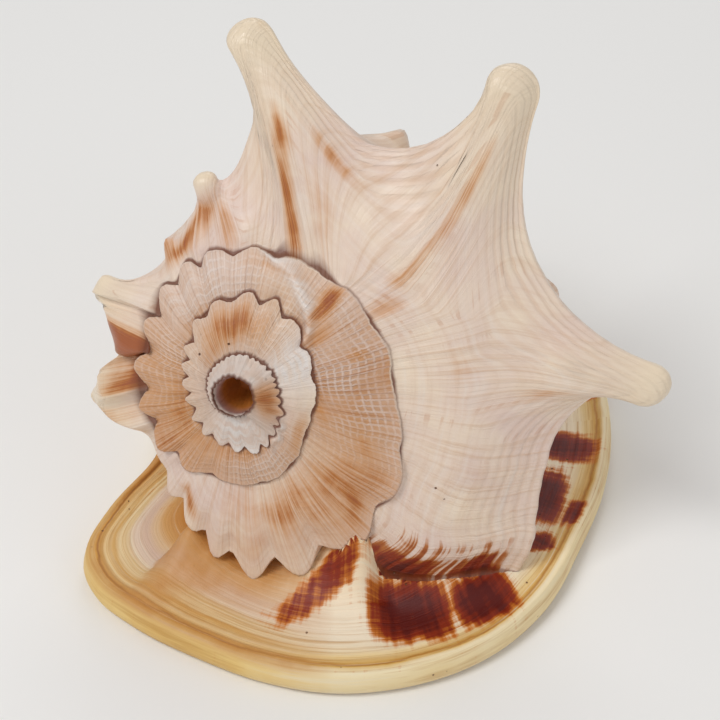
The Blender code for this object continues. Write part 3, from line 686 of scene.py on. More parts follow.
@dataclass
class Shield:
    """The flared shield round the mouth, which the shell lies on."""

    centre: tuple[float, float] = (0.0, 40.0)
    dish_z: float = 7.6
    rim_z: float = 11.0
    lift: float = 22.0
    hump_centre: tuple[float, float] = (0.0, 54.0)
    hump_radii: tuple[float, float] = (52.0, 76.0)
    hump_top: float = 18.0
    hump_belly: float = 8.5
    hump_mouth: float = 6.0
    around: int = 340
    rim: list = field(default_factory=lambda: [
        (-78, 12), (-89, -7), (-95, -26), (-90, -40), (-77.5, -52), (-53, -67), (-33, -76), (-10, -81),
        (13, -79), (40, -68), (62, -47), (76, -20), (87, 8), (92, 34), (92, 60), (85, 85), (69, 107),
        (45, 125), (23, 139), (5, 145), (-11, 141), (-28, 125), (-47, 104), (-63, 78), (-74, 44)])
    blotches: list = field(default_factory=lambda: [
        (17, -53.5, 12.5, 9.5, 3, 1.1), (41.5, -47, 9.5, 8, 22, 1.08), (-14, -47, 17, 5.0, 31, 0.74),
        (74, 27, 11, 6.5, -20, 1.0), (65, 3, 7, 12, -10, 1.05), (74.5, -7, 3, 6, -25, 0.8),
        (62, -20, 5, 4.5, 0, 0.85), (86, 60, 5, 8, 0, 0.9), (76, 88, 7, 7, 40, 0.9),
        (52, 112, 9, 6, -35, 0.9)])
    section: list = field(default_factory=lambda: [
        (0.0, 0.0), (0.70, 0.0), (0.79, 0.08), (0.86, 0.25), (0.915, 0.5), (0.938, 0.66), (0.952, 0.95),
        (0.968, 1.0), (0.982, 0.95)])
    hills: list = field(default_factory=lambda: [
        (10.0, -1.0, 9.0, -34.0, 7.0), (3.6, 46.0, 14.0, -36.0, 8.0), (5.8, 27.0, 14.0, -41.5, 7.5),
        (7.0, 11.0, 9.0, -40.0, 6.0)])

    def hump(self, x: np.ndarray, y: np.ndarray) -> np.ndarray:
        """Gives the middle of the shield.

        Args:
            x: places across the shield.
            y: places along the shield.

        Returns:
            0 on its flat border and 1 at its heart.
        """
        far = (((x - self.hump_centre[0]) / self.hump_radii[0]) ** 2
               + ((y - self.hump_centre[1]) / self.hump_radii[1]) ** 2)
        return ease(1.0 - far)

    def canal_rise(self, y: np.ndarray) -> np.ndarray:
        """Gives how far the shield turns up towards the end of the canal."""
        return self.lift * np.clip((y - 103.0) / 42.0, 0.0, 1.2) ** 2

    def belly(self, points: np.ndarray, low: float) -> np.ndarray:
        """Gives the floor under the coil, inside the thickness of the shield."""
        x, y = points[..., 0], points[..., 1]
        return low + self.hump_belly * self.hump(x, y) + 0.8 * self.canal_rise(y)

    def reach(self, angle: np.ndarray) -> np.ndarray:
        """Gives the distance of the rim from the shield's centre.

        Args:
            angle: directions from the centre, in radians.

        Returns:
            The distance in each direction.
        """
        rim = np.array(self.rim, float) - self.centre
        turn = np.unwrap(np.arctan2(rim[:, 1], rim[:, 0]))
        order = np.argsort(turn)
        turn, far = turn[order], np.hypot(rim[:, 0], rim[:, 1])[order]
        table = sorted((a + math.tau * k, d) for k in (-1, 0, 1) for a, d in zip(turn, far))
        return through(table, (angle - turn[0]) % math.tau + turn[0])

    def apron(self, x: np.ndarray, y: np.ndarray, z: np.ndarray, coil: Coil) -> np.ndarray:
        """Lets the dish climb up to the knobs of the whorl that it grew against.

        Args:
            x: places across the shield.
            y: places along the shield.
            z: heights of the dish there.
            coil: the coil, for where its lowest knobs are.

        Returns:
            The raised heights.
        """
        turn = np.linspace(-262.0, -150.0, 57)
        line = coil.place(through(coil.shoulder_r, turn) + 2.0, turn, through(coil.shoulder_h, turn))
        weight = ease((turn + 230.0) / 14.0) * ease((-150.0 - turn) / 14.0)
        gap = np.hypot(x[..., None] - line[:, 0], y[..., None] - line[:, 1])
        near = np.argmin(gap, -1)
        heart = np.array([-30.0, 8.0])
        knobs = np.hypot(line[near, 0] - heart[0], line[near, 1] - heart[1])
        inside = np.hypot(x - heart[0], y - heart[1]) < knobs
        gap = np.where(inside, 0.0, gap.min(-1))
        climb = np.exp(-(gap / 11.0) ** 1.25) * weight[near]
        z = z + np.maximum(line[near, 2] - 3.2 - z, 0.0) * climb
        for high, cx, half_x, cy, half_y in self.hills:
            z = z + high * bump(x - cx, half_x) * bump(y - cy, half_y)
        return z

    def stains(self, x: np.ndarray, y: np.ndarray) -> np.ndarray:
        """Gives the dark blotches on the shield.

        Args:
            x: places across the shield.
            y: places along the shield.

        Returns:
            How deep the stain is, 0 where there is none and about 1 in a blotch.
        """
        total = np.zeros_like(x)
        for cx, cy, hx, hy, turn, deep in self.blotches:
            c, s = math.cos(math.radians(turn)), math.sin(math.radians(turn))
            u, v = ((x - cx) * c + (y - cy) * s) / hx, (-(x - cx) * s + (y - cy) * c) / hy
            total = np.maximum(total, deep * np.exp(-0.7 * (np.abs(u) ** 3.5 + np.abs(v) ** 3.5)))
        return total

    def build(self, mouth: "Mouth", coil: Coil) -> bpy.types.Object:
        """Makes the closed slab of the shield.

        Args:
            mouth: the mouth, whose teeth run out on to the underside.
            coil: the coil that the shield grew against.

        Returns:
            The shield's object.
        """
        angle = np.linspace(0, math.tau, self.around, endpoint=False)
        far = self.reach(angle)
        top = np.concatenate([np.linspace(0.18, 0.6, 8), np.linspace(0.63, 0.90, 26),
                              np.linspace(0.908, 0.985, 14)])
        turned = [(0.9915, 0.82), (0.9965, 0.66), (1.0, 0.47), (0.9985, 0.30), (0.993, 0.14), (0.984, 0.04)]
        bottom = np.concatenate([np.linspace(0.972, 0.60, 16), np.linspace(0.57, 0.12, 18),
                                 [0.08, 0.04, 0.015]])
        rows, facts, sides = [], [], []
        for share, height, side in ([(s, 0.0, Side.TOP) for s in top] + [(s, z, Side.RIM) for s, z in turned]
                                    + [(s, 0.0, Side.UNDER) for s in bottom]):
            x = self.centre[0] + far * share * np.cos(angle)
            y = self.centre[1] + far * share * np.sin(angle)
            inward = (1.0 - share) * far
            middle = self.hump(x, y)
            z = np.full_like(x, self.rim_z * height)
            if side is Side.TOP:
                lift = through(self.section, share)
                bands = 0.22 * np.sin(math.tau * (inward + 1.5 * wander(angle * 3.0, 1.0)) / 3.1)
                bands = bands * ease((inward - 5.0) / 2.0) * ease((34.0 - inward) / 12.0)
                waves = 0.35 * wander(angle * 9.0, 2.0) * bump(inward - 14.0, 12.0)
                z = self.dish_z + (self.rim_z - self.dish_z) * lift + self.hump_top * middle * (1 - lift)
                z = self.apron(x, y, z, coil) + bands + waves - 0.55 * bump(inward - 5.0, 0.7)
            elif side is Side.UNDER:
                z = np.maximum(self.hump_mouth * middle ** 2 - mouth.ridges(x, y, middle), 0.0)
                inward = -inward
            rows.append(np.stack([x, y, z + self.canal_rise(y)], -1))
            facts.append(inward)
            sides.append(side)
        verts = np.concatenate(rows)
        count = self.around
        faces, zones, corner_uv = [], [], []
        for k in range(len(rows) - 1):
            zone = Zone.PORCELAIN if sides[k + 1] is Side.UNDER else Zone.SHIELD
            for i in range(count):
                n = (i + 1) % count
                low, high = TURN / UNIT * i / count, TURN / UNIT * (i + 1) / count
                corner_uv += [(low, facts[k][i] / UNIT), (high, facts[k][n] / UNIT),
                              (high, facts[k + 1][n] / UNIT), (low, facts[k + 1][i] / UNIT)]
                faces.append((k * count + i, k * count + n, (k + 1) * count + n, (k + 1) * count + i))
                zones.append(zone.value)
        verts = np.concatenate([verts, [[*self.centre, self.dish_z + self.hump_top]],
                                [[*self.centre, float(rows[-1][:, 2].mean())]]])
        base = (len(rows) - 1) * count
        for i in range(count):
            n = (i + 1) % count
            faces.append((len(verts) - 2, n, i))
            faces.append((len(verts) - 1, base + i, base + n))
            corner_uv += [(0.0, 0.9)] * 3 + [(0.0, -0.9)] * 3
            zones += [Zone.SHIELD.value, Zone.PORCELAIN.value]
        obj = make_object("shield", verts, faces, corner_uv)
        obj.data.polygons.foreach_set("material_index", zones)
        store(obj, "brown", self.stains(verts[:, 0], verts[:, 1]))
        store(obj, "height", verts[:, 2])
        beside = ease((verts[:, 1] + 46.0) / 34.0) * ease((172.0 - verts[:, 1]) / 30.0)
        store(obj, "mouth", bump(verts[:, 0] - mouth.middle(verts[:, 1]), 26.0) * beside)
        return obj


@dataclass
class Mouth:
    """The long toothed mouth and the hollow of the last whorl behind it."""

    y_range: tuple[float, float] = (-24.0, 156.0)
    x_ends: tuple[float, float] = (17.0, 3.0)
    half: float = 8.5
    tooth_pitch: float = 12.0
    fold_times: float = 1.6
    wall: float = 6.5
    slot_z: float = -6.0
    chamber_z: float = 16.0

    def along(self, y: np.ndarray) -> np.ndarray:
        """Gives the share of the way along the slot."""
        return (y - self.y_range[0]) / (self.y_range[1] - self.y_range[0])

    def middle(self, y: np.ndarray) -> np.ndarray:
        """Gives the middle line of the slot."""
        t = self.along(y)
        return self.x_ends[0] + (self.x_ends[1] - self.x_ends[0]) * t - 5.0 * np.sin(np.pi * np.clip(t, 0, 1))

    def bite(self, y: np.ndarray) -> np.ndarray:
        """Gives where the teeth are along the slot, from 0 to 1."""
        return ease((self.along(y) - 0.15) / 0.15) * ease((0.8 - self.along(y)) / 0.12)

    def beat(self, y: np.ndarray, times: float) -> np.ndarray:
        """Gives the wave of the teeth, from 0 to 1, with so many times as many of them."""
        return 0.5 - 0.5 * np.cos(math.tau * y / self.tooth_pitch * times)

    def ridges(self, x: np.ndarray, y: np.ndarray, middle: np.ndarray) -> np.ndarray:
        """Gives how far the teeth stand out of the underside beside the slot.

        Args:
            x: places across the shield.
            y: places along the shield.
            middle: how near the heart of the shield they are, from 0 to 1.

        Returns:
            Height of the teeth.
        """
        off = x - self.middle(y)
        lip = 1.7 * self.beat(y, 1.0) ** 2 * bump(off - 14.0, 6.0)
        fold = 1.1 * self.beat(y, self.fold_times) ** 2 * bump(off + 13.0, 6.0)
        return (lip + fold) * self.bite(y) * ease(middle * 6.0)

    def slot(self) -> bpy.types.Object:
        """Makes the body of the slot, to be cut away.

        Returns:
            The slot's object.
        """
        y = np.linspace(*self.y_range, 241)
        middle = self.middle(y)
        half = self.half * (0.42 + 0.58 * np.sin(np.pi * np.clip(self.along(y) * 1.15, 0, 1)) ** 0.8)
        lip = 2.8 * self.bite(y) * self.beat(y, 1.0) ** 1.3
        fold = 1.6 * self.bite(y) * self.beat(y, self.fold_times)
        high = np.interp(y, [-24.0, -12.0, 90.0, 120.0, 156.0], [14.0, 36.0, 36.0, 26.0, 34.0])
        rows = []
        up_steps = np.linspace(0.0, 1.0, 12)
        for way, teeth, steps in ((1.0, lip, up_steps), (-1.0, fold, up_steps[::-1])):
            for up in steps:
                open_up = 1.0 + 0.35 * (1 - up) ** 3 - 0.2 * up ** 2
                reach = half * open_up - teeth * bump(up - 0.4, 0.35)
                rows.append(np.stack([middle + way * reach, y, self.slot_z + (high - self.slot_z) * up], -1))
        return self.tube("slot", np.array(rows), Zone.PORCELAIN)

    def chamber(self, coil: Coil, shield: Shield) -> bpy.types.Object:
        """Makes the hollow of the last whorl, to be cut away.

        Args:
            coil: the coil whose wall the hollow follows.
            shield: the shield under it.

        Returns:
            The hollow's object.
        """
        rows = []
        for t in np.linspace(-175.0, 137.0, 90):
            now, before = np.array(t), np.array(t - TURN)
            r0, r1 = through(coil.shoulder_r, before), through(coil.shoulder_r, now)
            h0, h1 = coil.level(before, r0), through(coil.shoulder_h, now)
            long = coil.canal_h - h1
            corners = [(0.85 * r0, h0 - 11.0), (0.5 * (r0 + r1), 0.5 * (h0 + h1) - 9.5), (r1 - 8.5, h1 - 8.5)]
            for s in (0.16, 0.34, 0.52, 0.68):
                plain = coil.canal_r + (r1 - coil.canal_r) * through(coil.side_share, np.array(s))
                corners.append((plain - self.wall, h1 + long * s))
            corners += [(10.0, h1 + long * 0.62), (10.0, h1 + long * 0.36), (0.3 * r0, h0 - 17.0)]
            section = np.array(corners, float)
            open_up = float(ease(np.array((t + 175.0) / 40.0))) * 0.75 + 0.25
            section = section.mean(0) + (section - section.mean(0)) * open_up
            points = coil.place(section[:, 0], coil.lip_end(now, section[:, 0]), section[:, 1])
            floor = self.chamber_z + 0.8 * shield.canal_rise(points[..., 1])
            points[..., 2] = settle(points[..., 2], floor)
            rows.append(points)
        return self.tube("chamber", np.swapaxes(np.array(rows), 0, 1), Zone.INSIDE)

    def tube(self, name: str, rows: np.ndarray, zone: Zone) -> bpy.types.Object:
        """Closes a grid of points, going round in its first direction, into a tube with ends.

        Args:
            name: the object's name.
            rows: points over the ground, round the tube and then along it.
            zone: the surface that a cut with it leaves.

        Returns:
            The tube's object.
        """
        around, along = rows.shape[:2]
        number = np.arange(around * along).reshape(around, along)
        faces = []
        for a in range(around):
            b = (a + 1) % around
            for k in range(along - 1):
                faces.append((number[a, k], number[b, k], number[b, k + 1], number[a, k + 1]))
        faces.append(tuple(number[:, 0]))
        faces.append(tuple(number[::-1, -1]))
        obj = make_object(name, rows.reshape(-1, 3), [tuple(map(int, f)) for f in faces], None)
        store(obj, "mouth", np.ones(around * along))
        obj.data.polygons.foreach_set("material_index", [zone.value] * len(faces))
        return obj


def make_object(name: str, points: np.ndarray, faces: list[tuple[int, ...]],
                corner_uv: list[tuple[float, float]] | None) -> bpy.types.Object:
    """Makes a mesh object with its faces outwards.

    Args:
        name: the object's name.
        points: points in millimetres over the ground.
        faces: the corners of each face.
        corner_uv: growth coordinates of the faces' corners, or nothing.

    Returns:
        The object, linked to the scene.
    """
    mesh = bpy.data.meshes.new(name)
    mesh.from_pydata(((points + ORIGIN) * MM).tolist(), [], faces)
    layer = mesh.uv_layers.new(name="growth")
    if corner_uv:
        layer.data.foreach_set("uv", np.array(corner_uv, np.float32).ravel())
    for _ in Zone:
        mesh.materials.append(None)
    obj = bpy.data.objects.new(name, mesh)
    bpy.context.collection.objects.link(obj)
    store(obj, "kept", np.ones(len(points)))
    pick(obj)
    bpy.ops.object.mode_set(mode="EDIT")
    bpy.ops.mesh.select_all(action="SELECT")
    bpy.ops.mesh.normals_make_consistent(inside=False)
    bpy.ops.object.mode_set(mode="OBJECT")
    return obj


def store(obj: bpy.types.Object, name: str, values: np.ndarray) -> None:
    """Keeps one number per vertex as an attribute."""
    layer = obj.data.attributes.new(name, "FLOAT", "POINT")
    layer.data.foreach_set("value", np.asarray(values, np.float32))


def pick(obj: bpy.types.Object) -> None:
    """Selects one object alone and makes it active.

    Args:
        obj: the object.
    """
    if bpy.context.object and bpy.context.object.mode != "OBJECT":
        bpy.ops.object.mode_set(mode="OBJECT")
    bpy.ops.object.select_all(action="DESELECT")
    obj.select_set(True)
    bpy.context.view_layer.objects.active = obj


def combine(target: bpy.types.Object, tool: bpy.types.Object, joining: Joining) -> None:
    """Applies a Boolean to the target and removes its tool.

    Args:
        target: the object that changes.
        tool: the closed object that is joined on or cut away.
        joining: which of the two is done.
    """
    modifier = target.modifiers.new(joining.name.title(), "BOOLEAN")
    modifier.object = tool
    modifier.operation = joining.value
    modifier.solver = "MANIFOLD"
    pick(target)
    bpy.ops.object.modifier_apply(modifier=modifier.name)
    bpy.data.objects.remove(tool)


def mend(obj: bpy.types.Object) -> None:
    """Gives the vertices that a Boolean made the stored values of their neighbours.

    The joint of wall and shield also gets the dark of the seams, as painted shade along the crease where they
    meet.

    Args:
        obj: the object after its Booleans.
    """
    mesh = obj.data
    ends = np.zeros(2 * len(mesh.edges), np.int32)
    mesh.edges.foreach_get("vertices", ends)
    ends = ends.reshape(-1, 2)
    slots = np.zeros(len(mesh.polygons), np.int32)
    mesh.polygons.foreach_get("material_index", slots)
    sizes = np.zeros(len(mesh.polygons), np.int32)
    mesh.polygons.foreach_get("loop_total", sizes)
    corners = np.zeros(len(mesh.loops), np.int32)
    mesh.loops.foreach_get("vertex_index", corners)
    touches = {zone: np.zeros(len(mesh.vertices), bool) for zone in Zone}
    for zone in Zone:
        touches[zone][corners[np.repeat(slots, sizes) == zone.value]] = True
    kept = np.zeros(len(mesh.vertices), np.float32)
    mesh.attributes["kept"].data.foreach_get("value", kept)
    fresh = kept < 0.99
    joint = touches[Zone.WALL] & touches[Zone.SHIELD]
    LOG.info("mended vertices: %d, on the joint: %d", int(fresh.sum()), int(joint.sum()))
    owners = {"height": Zone.SHIELD, "mouth": Zone.PORCELAIN, "brown": None}
    for name in ("horn", "seam", "pit", "tan", "age", "white", "keel", "brown", "height", "mouth"):
        values = np.zeros(len(mesh.vertices), np.float32)
        data = mesh.attributes[name].data
        data.foreach_get("value", values)
        owner = owners.get(name, Zone.WALL)
        known = ~fresh & (touches[owner] if owner else True)
        for _ in range(3):
            total, count = np.zeros(len(values)), np.zeros(len(values))
            for one, other in ((ends[:, 0], ends[:, 1]), (ends[:, 1], ends[:, 0])):
                np.add.at(total, one, values[other] * known[other])
                np.add.at(count, one, known[other])
            todo = fresh & ~known & (count > 0)
            values[todo] = total[todo] / count[todo]
            known = known | todo
        # Painted shade along the crease where wall meets shield.
        if name == "seam":
            values[joint] = np.maximum(values[joint], 0.85)
        data.foreach_set("value", values)


def linear(hex_code: str) -> tuple[float, float, float, float]:
    """Turns an sRGB hex colour into linear values."""
    values = [int(hex_code[i:i + 2], 16) / 255 for i in (1, 3, 5)]
    return (*[c / 12.92 if c <= 0.04045 else ((c + 0.055) / 1.055) ** 2.4 for c in values], 1.0)


def plug(tree: bpy.types.NodeTree, socket: bpy.types.NodeSocket, value: object) -> None:
    """Links an input or sets it.

    Args:
        tree: the material's node tree.
        socket: the input.
        value: a node, an output, a hex colour or a plain value.
    """
    if isinstance(value, bpy.types.Node):
        value = next(out for out in value.outputs if out.enabled)
    if isinstance(value, bpy.types.NodeSocket):
        tree.links.new(value, socket)
    else:
        socket.default_value = linear(value) if isinstance(value, str) else value


def add(tree: bpy.types.NodeTree, kind: str, inputs: dict | tuple = (), stops: tuple = (),
        **settings: object) -> bpy.types.Node:
    """Adds a node with its settings and links.

    Args:
        tree: the material's node tree.
        kind: the node's type name without ShaderNode in front.
        inputs: what its inputs get, by their names or in the order of the ones in use.
        stops: places and hex colours of a colour ramp.
        settings: the node's own settings.

    Returns:
        The node.
    """
    node = tree.nodes.new("ShaderNode" + kind)
    for name, value in settings.items():
        setattr(node, name, value)
    if isinstance(inputs, dict):
        pairs = [(node.inputs[name], value) for name, value in inputs.items()]
    else:
        pairs = zip([socket for socket in node.inputs if socket.enabled], inputs)
    for socket, value in pairs:
        plug(tree, socket, value)
    for number, (place, colour) in enumerate(stops):
        elements = node.color_ramp.elements
        element = elements[number] if number < len(elements) else elements.new(1.0)
        element.position = place
        element.color = linear(colour)
    return node


def layered(tree: bpy.types.NodeTree, base: object, layers: tuple) -> bpy.types.Node:
    """Lays colours over one another, each through a mask.

    Args:
        tree: the material's node tree.
        base: the colour underneath.
        layers: for each colour, what its mask is read from, the span that is read, the mask's
            values at the span's two ends, and the colour.

    Returns:
        The node of the uppermost colour.
    """
    for source, span, share, colour in layers:
        mask = add(tree, "MapRange", (source, *span, *share))
        base = add(tree, "Mix", (mask, base, colour), data_type="RGBA")
    return base


def merged(tree: bpy.types.NodeTree, operation: str, first: object, *others: object) -> object:
    """Adds or multiplies several values.

    Args:
        tree: the material's node tree.
        operation: ADD or MULTIPLY.
        first: the first value.
        others: the values that come after it.

    Returns:
        The last node.
    """
    for other in others:
        first = add(tree, "Math", (first, other), operation=operation)
    return first


@dataclass(frozen=True)
class Finish:
    """What every finish of the shell has: a name, and the gloss that is the same all over."""

    name: str = "shell"
    ior: float = 1.53
    specular: float = 0.5
    coat: float = 0.0
    coat_rough: float = 0.03

    def make(self) -> bpy.types.Material:
        """Builds the material.

        Returns:
            The material.
        """
        material = bpy.data.materials.new(self.name)
        material.use_nodes = True
        tree = material.node_tree
        colour, gloss, normal = self.nodes(tree, add(tree, "TexCoord").outputs["Object"])
        sockets = tree.nodes["Principled BSDF"].inputs
        for name, value in (("Base Color", colour), ("Roughness", gloss), ("Normal", normal),
                            ("IOR", self.ior), ("Specular IOR Level", self.specular),
                            ("Coat Weight", self.coat), ("Coat Roughness", self.coat_rough)):
            plug(tree, sockets[name], value)
        return material

    def nodes(self, tree: bpy.types.NodeTree, place: bpy.types.NodeSocket) -> tuple:
        """Adds the nodes of one finish, and gives its colour, roughness and normal."""
        raise NotImplementedError


@dataclass(frozen=True)
class WallFinish(Finish):
    """Outer wall of a helmet shell: aragonite that the sea has cleaned and dulled.

    It gives the eye a chalky lilac cream with fine growth lines down the whorl, cords round it,
    tan rust in patches, ivory glaze on the horns, and grey net-like old whorls at the spire.
    """

    name: str = "sea_worn_aragonite_wall"
    coat: float = 0.12
    coat_rough: float = 0.3
    keel_cord_mm: float = 2.805
    net_cord_mm: float = 2.3015
    net_thread_degrees: float = 2.7318
    cream: str = "#F4E0C9"
    lilac: str = "#E6CDC0"
    line: str = "#D2A984"
    chalk: str = "#F3EAE2"
    trail: str = "#CFA27C"
    tan: str = "#CE8423"
    rust: str = "#A04C0A"
    ivory: str = "#F1DEC2"
    bare: str = "#C68A56"
    old: str = "#D8B59C"
    net: str = "#E9DAD3"
    rust_line: str = "#A8642C"
    # Brown of the sutures, which also serves as painted shade in their grooves, notches, the lip crack and
    # the crease against the shield.
    seam: str = "#6E3210"
    white: str = "#EFE6E0"
    halo: str = "#BE7434"
    brown: str = "#8A2C06"
    dark: str = "#560F03"
    speck: str = "#6B4125"
    rosy: str = "#CDA29C"
    # Orange deep in the pit: partly the inner shell's colour, partly a painted glow.
    painted_glow: str = "#D98B3C"

    def nodes(self, tree: bpy.types.NodeTree, place: bpy.types.NodeSocket) -> tuple:
        """Adds the nodes of the wall.

        Args:
            tree: the material's node tree.
            place: the object coordinates.

        Returns:
            Its colour, roughness and normal.
        """
        growth = add(tree, "UVMap", uv_map="growth")
        angle, across = add(tree, "SeparateXYZ", (growth,)).outputs[:2]
        tan, brown, age, horn, seam, white, pit, keel = (
            add(tree, "Attribute", attribute_name=name).outputs["Fac"]
            for name in ("tan", "brown", "age", "horn", "seam", "white", "pit", "keel"))
        # One unit of the first growth coordinate is 100 degrees and of the second 100 mm, so the
        # growth lines are about 1 degree apart, the broad folds 5 degrees and the cords 2 mm.
        fine, broad, cords = (
            add(tree, "TexNoise", {"Vector": add(tree, "Mapping", {"Vector": growth, "Scale": scale}),
                                   "Scale": 1.0, "Detail": detail, "Roughness": rough}, noise_dimensions="2D")
            for scale, detail, rough in (((95.0, 2.2, 1.0), 4.0, 0.62), ((22.0, 1.6, 1.0), 3.0, 0.5),
                                         ((3.0, 52.0, 1.0), 3.0, 0.5)))
        # Patches per metre: clouds of 31 mm, wear of 14 mm, groups of specks of 26 mm, and the
        # grain, which is finer on the real shell and is drawn at 1.1 mm so that it shows.
        cloud, wear, rare, grain = (
            add(tree, "TexNoise", {"Vector": place, "Scale": scale, "Detail": detail, "Roughness": rough})
            for scale, detail, rough in ((32.0, 4.0, 0.6), (70.0, 3.0, 0.5), (38.0, 1.0, 0.5),
                                         (900.0, 3.0, 0.5)))
        base = layered(tree, self.cream, (
            (cloud, (0.36, 0.66), (0.0, 1.0), self.lilac), (fine, (0.50, 0.80), (0.0, 0.55), self.line),
            (cords, (0.52, 0.75), (0.0, 0.17), self.line), (cords, (0.46, 0.25), (0.0, 0.25), self.chalk)))
        # Waves: cords that follow the keel between the horns, and cords and threads of old whorls.
        waves = []
        for way, pitch, drift, sway in ((across, self.keel_cord_mm, broad, 2.5),
                                        (across, self.net_cord_mm, broad, 3.0),
                                        (angle, self.net_thread_degrees, cords, 4.0)):
            wave = (way, math.tau * UNIT / pitch, merged(tree, "MULTIPLY", drift, sway))
            wave = add(tree, "Math", wave, operation="MULTIPLY_ADD")
            waves.append(add(tree, "Math", (wave,), operation="SINE"))
        trail, ring, thread = waves
        trail = merged(tree, "MULTIPLY", add(tree, "MapRange", (trail, -0.2, 1.0)), keel)
        base = layered(tree, base, ((trail, (0.0, 1.0), (0.0, 0.24), self.trail),))
        # Old whorls: a net of pale cords and growth threads over rosy grey.
        net = add(tree, "Math", (ring, thread, 0.5), operation="SMOOTH_MAX")
        net = merged(tree, "MULTIPLY", add(tree, "MapRange", (net, 0.15, 1.1, 0.0, 0.62)),
                     add(tree, "MapRange", (wear, 0.36, 0.60, 0.15, 1.0)))
        old = layered(tree, self.bare, (
            (cloud, (0.34, 0.6), (0.0, 1.0), self.old), (net, (0.0, 1.0), (0.0, 1.0), self.net),
            (fine, (0.53, 0.72), (0.0, 0.75), self.rust_line)))
        # The old whorls, the ivory glaze of the polished horns, and bleached white.
        bleach = merged(tree, "MULTIPLY", add(tree, "MapRange", (cords, 0.36, 0.56, 0.35, 0.95)), white)
        base = layered(tree, base, (
            (age, (0.0, 1.0), (0.0, 1.0), old), (horn, (0.22, 0.8), (0.0, 0.9), self.ivory),
            (bleach, (0.0, 1.0), (0.0, 1.0), self.white)))
        # Tan rust, drawn out along the growth lines.
        rust = merged(tree, "MULTIPLY", tan, add(tree, "MapRange", (fine, 0.30, 0.68, 0.55, 1.2)),
                      add(tree, "MapRange", (cloud, 0.35, 0.65, 0.55, 1.25)))
        shade = layered(tree, self.tan, ((rust, (0.45, 1.1), (0.0, 1.0), self.rust),))
        # Dark blotches of the body, cut by its paler cords.
        blot = merged(tree, "ADD", brown, add(tree, "MapRange", (cords, 0.36, 0.58, -0.26, 0.18)),
                      add(tree, "MapRange", (broad, 0.3, 0.7, -0.12, 0.12)))
        # Grime specks and tiny bored holes, one to a cell of 6 mm where they are.
        spots = add(tree, "TexVoronoi", {"Vector": place, "Scale": 170.0}).outputs["Distance"]
        speck = merged(tree, "MULTIPLY", add(tree, "MapRange", (spots, 0.085, 0.05)),
                       add(tree, "MapRange", (rare, 0.60, 0.66)))
        # The pit of the broken apex turns rosy, then orange, deeper in: partly the shell's inner colour,
        # partly painted shade and a painted glow.
        pit_tint_and_painted_glow = layered(tree, self.rosy, ((pit, (0.25, 0.7), (0.0, 1.0), self.painted_glow),))
        base = layered(tree, base, (
            (rust, (0.10, 0.78), (0.0, 0.95), shade), (blot, (0.25, 0.48), (0.0, 1.0), self.halo),
            (blot, (0.42, 0.72), (0.0, 1.0), self.brown), (blot, (0.85, 1.2), (0.0, 1.0), self.dark),
            # Seams: brown suture colour, with painted shade in grooves, notches, the lip crack and the crease
            # against the shield.
            (seam, (0.35, 0.95), (0.0, 0.9), self.seam), (speck, (0.0, 1.0), (0.0, 1.0), self.speck),
            (pit, (0.04, 0.22), (0.0, 1.0), pit_tint_and_painted_glow)))
        polish = add(tree, "MapRange", (horn, 0.22, 0.8, 0.0, 0.9))
        dull = add(tree, "MapRange", (cloud, 0.3, 0.7, 0.34, 0.52))
        gloss = add(tree, "Mix", (polish, dull, 0.26), data_type="FLOAT")
        relief = fine
        for pattern, share in ((cords, 0.6), (net, age), (grain, 0.10), (speck, -1.0), (trail, -0.5)):
            relief = merged(tree, "ADD", relief, merged(tree, "MULTIPLY", pattern, share))
        return base, gloss, add(tree, "Bump", {"Strength": 0.85, "Distance": 0.00042, "Height": relief})


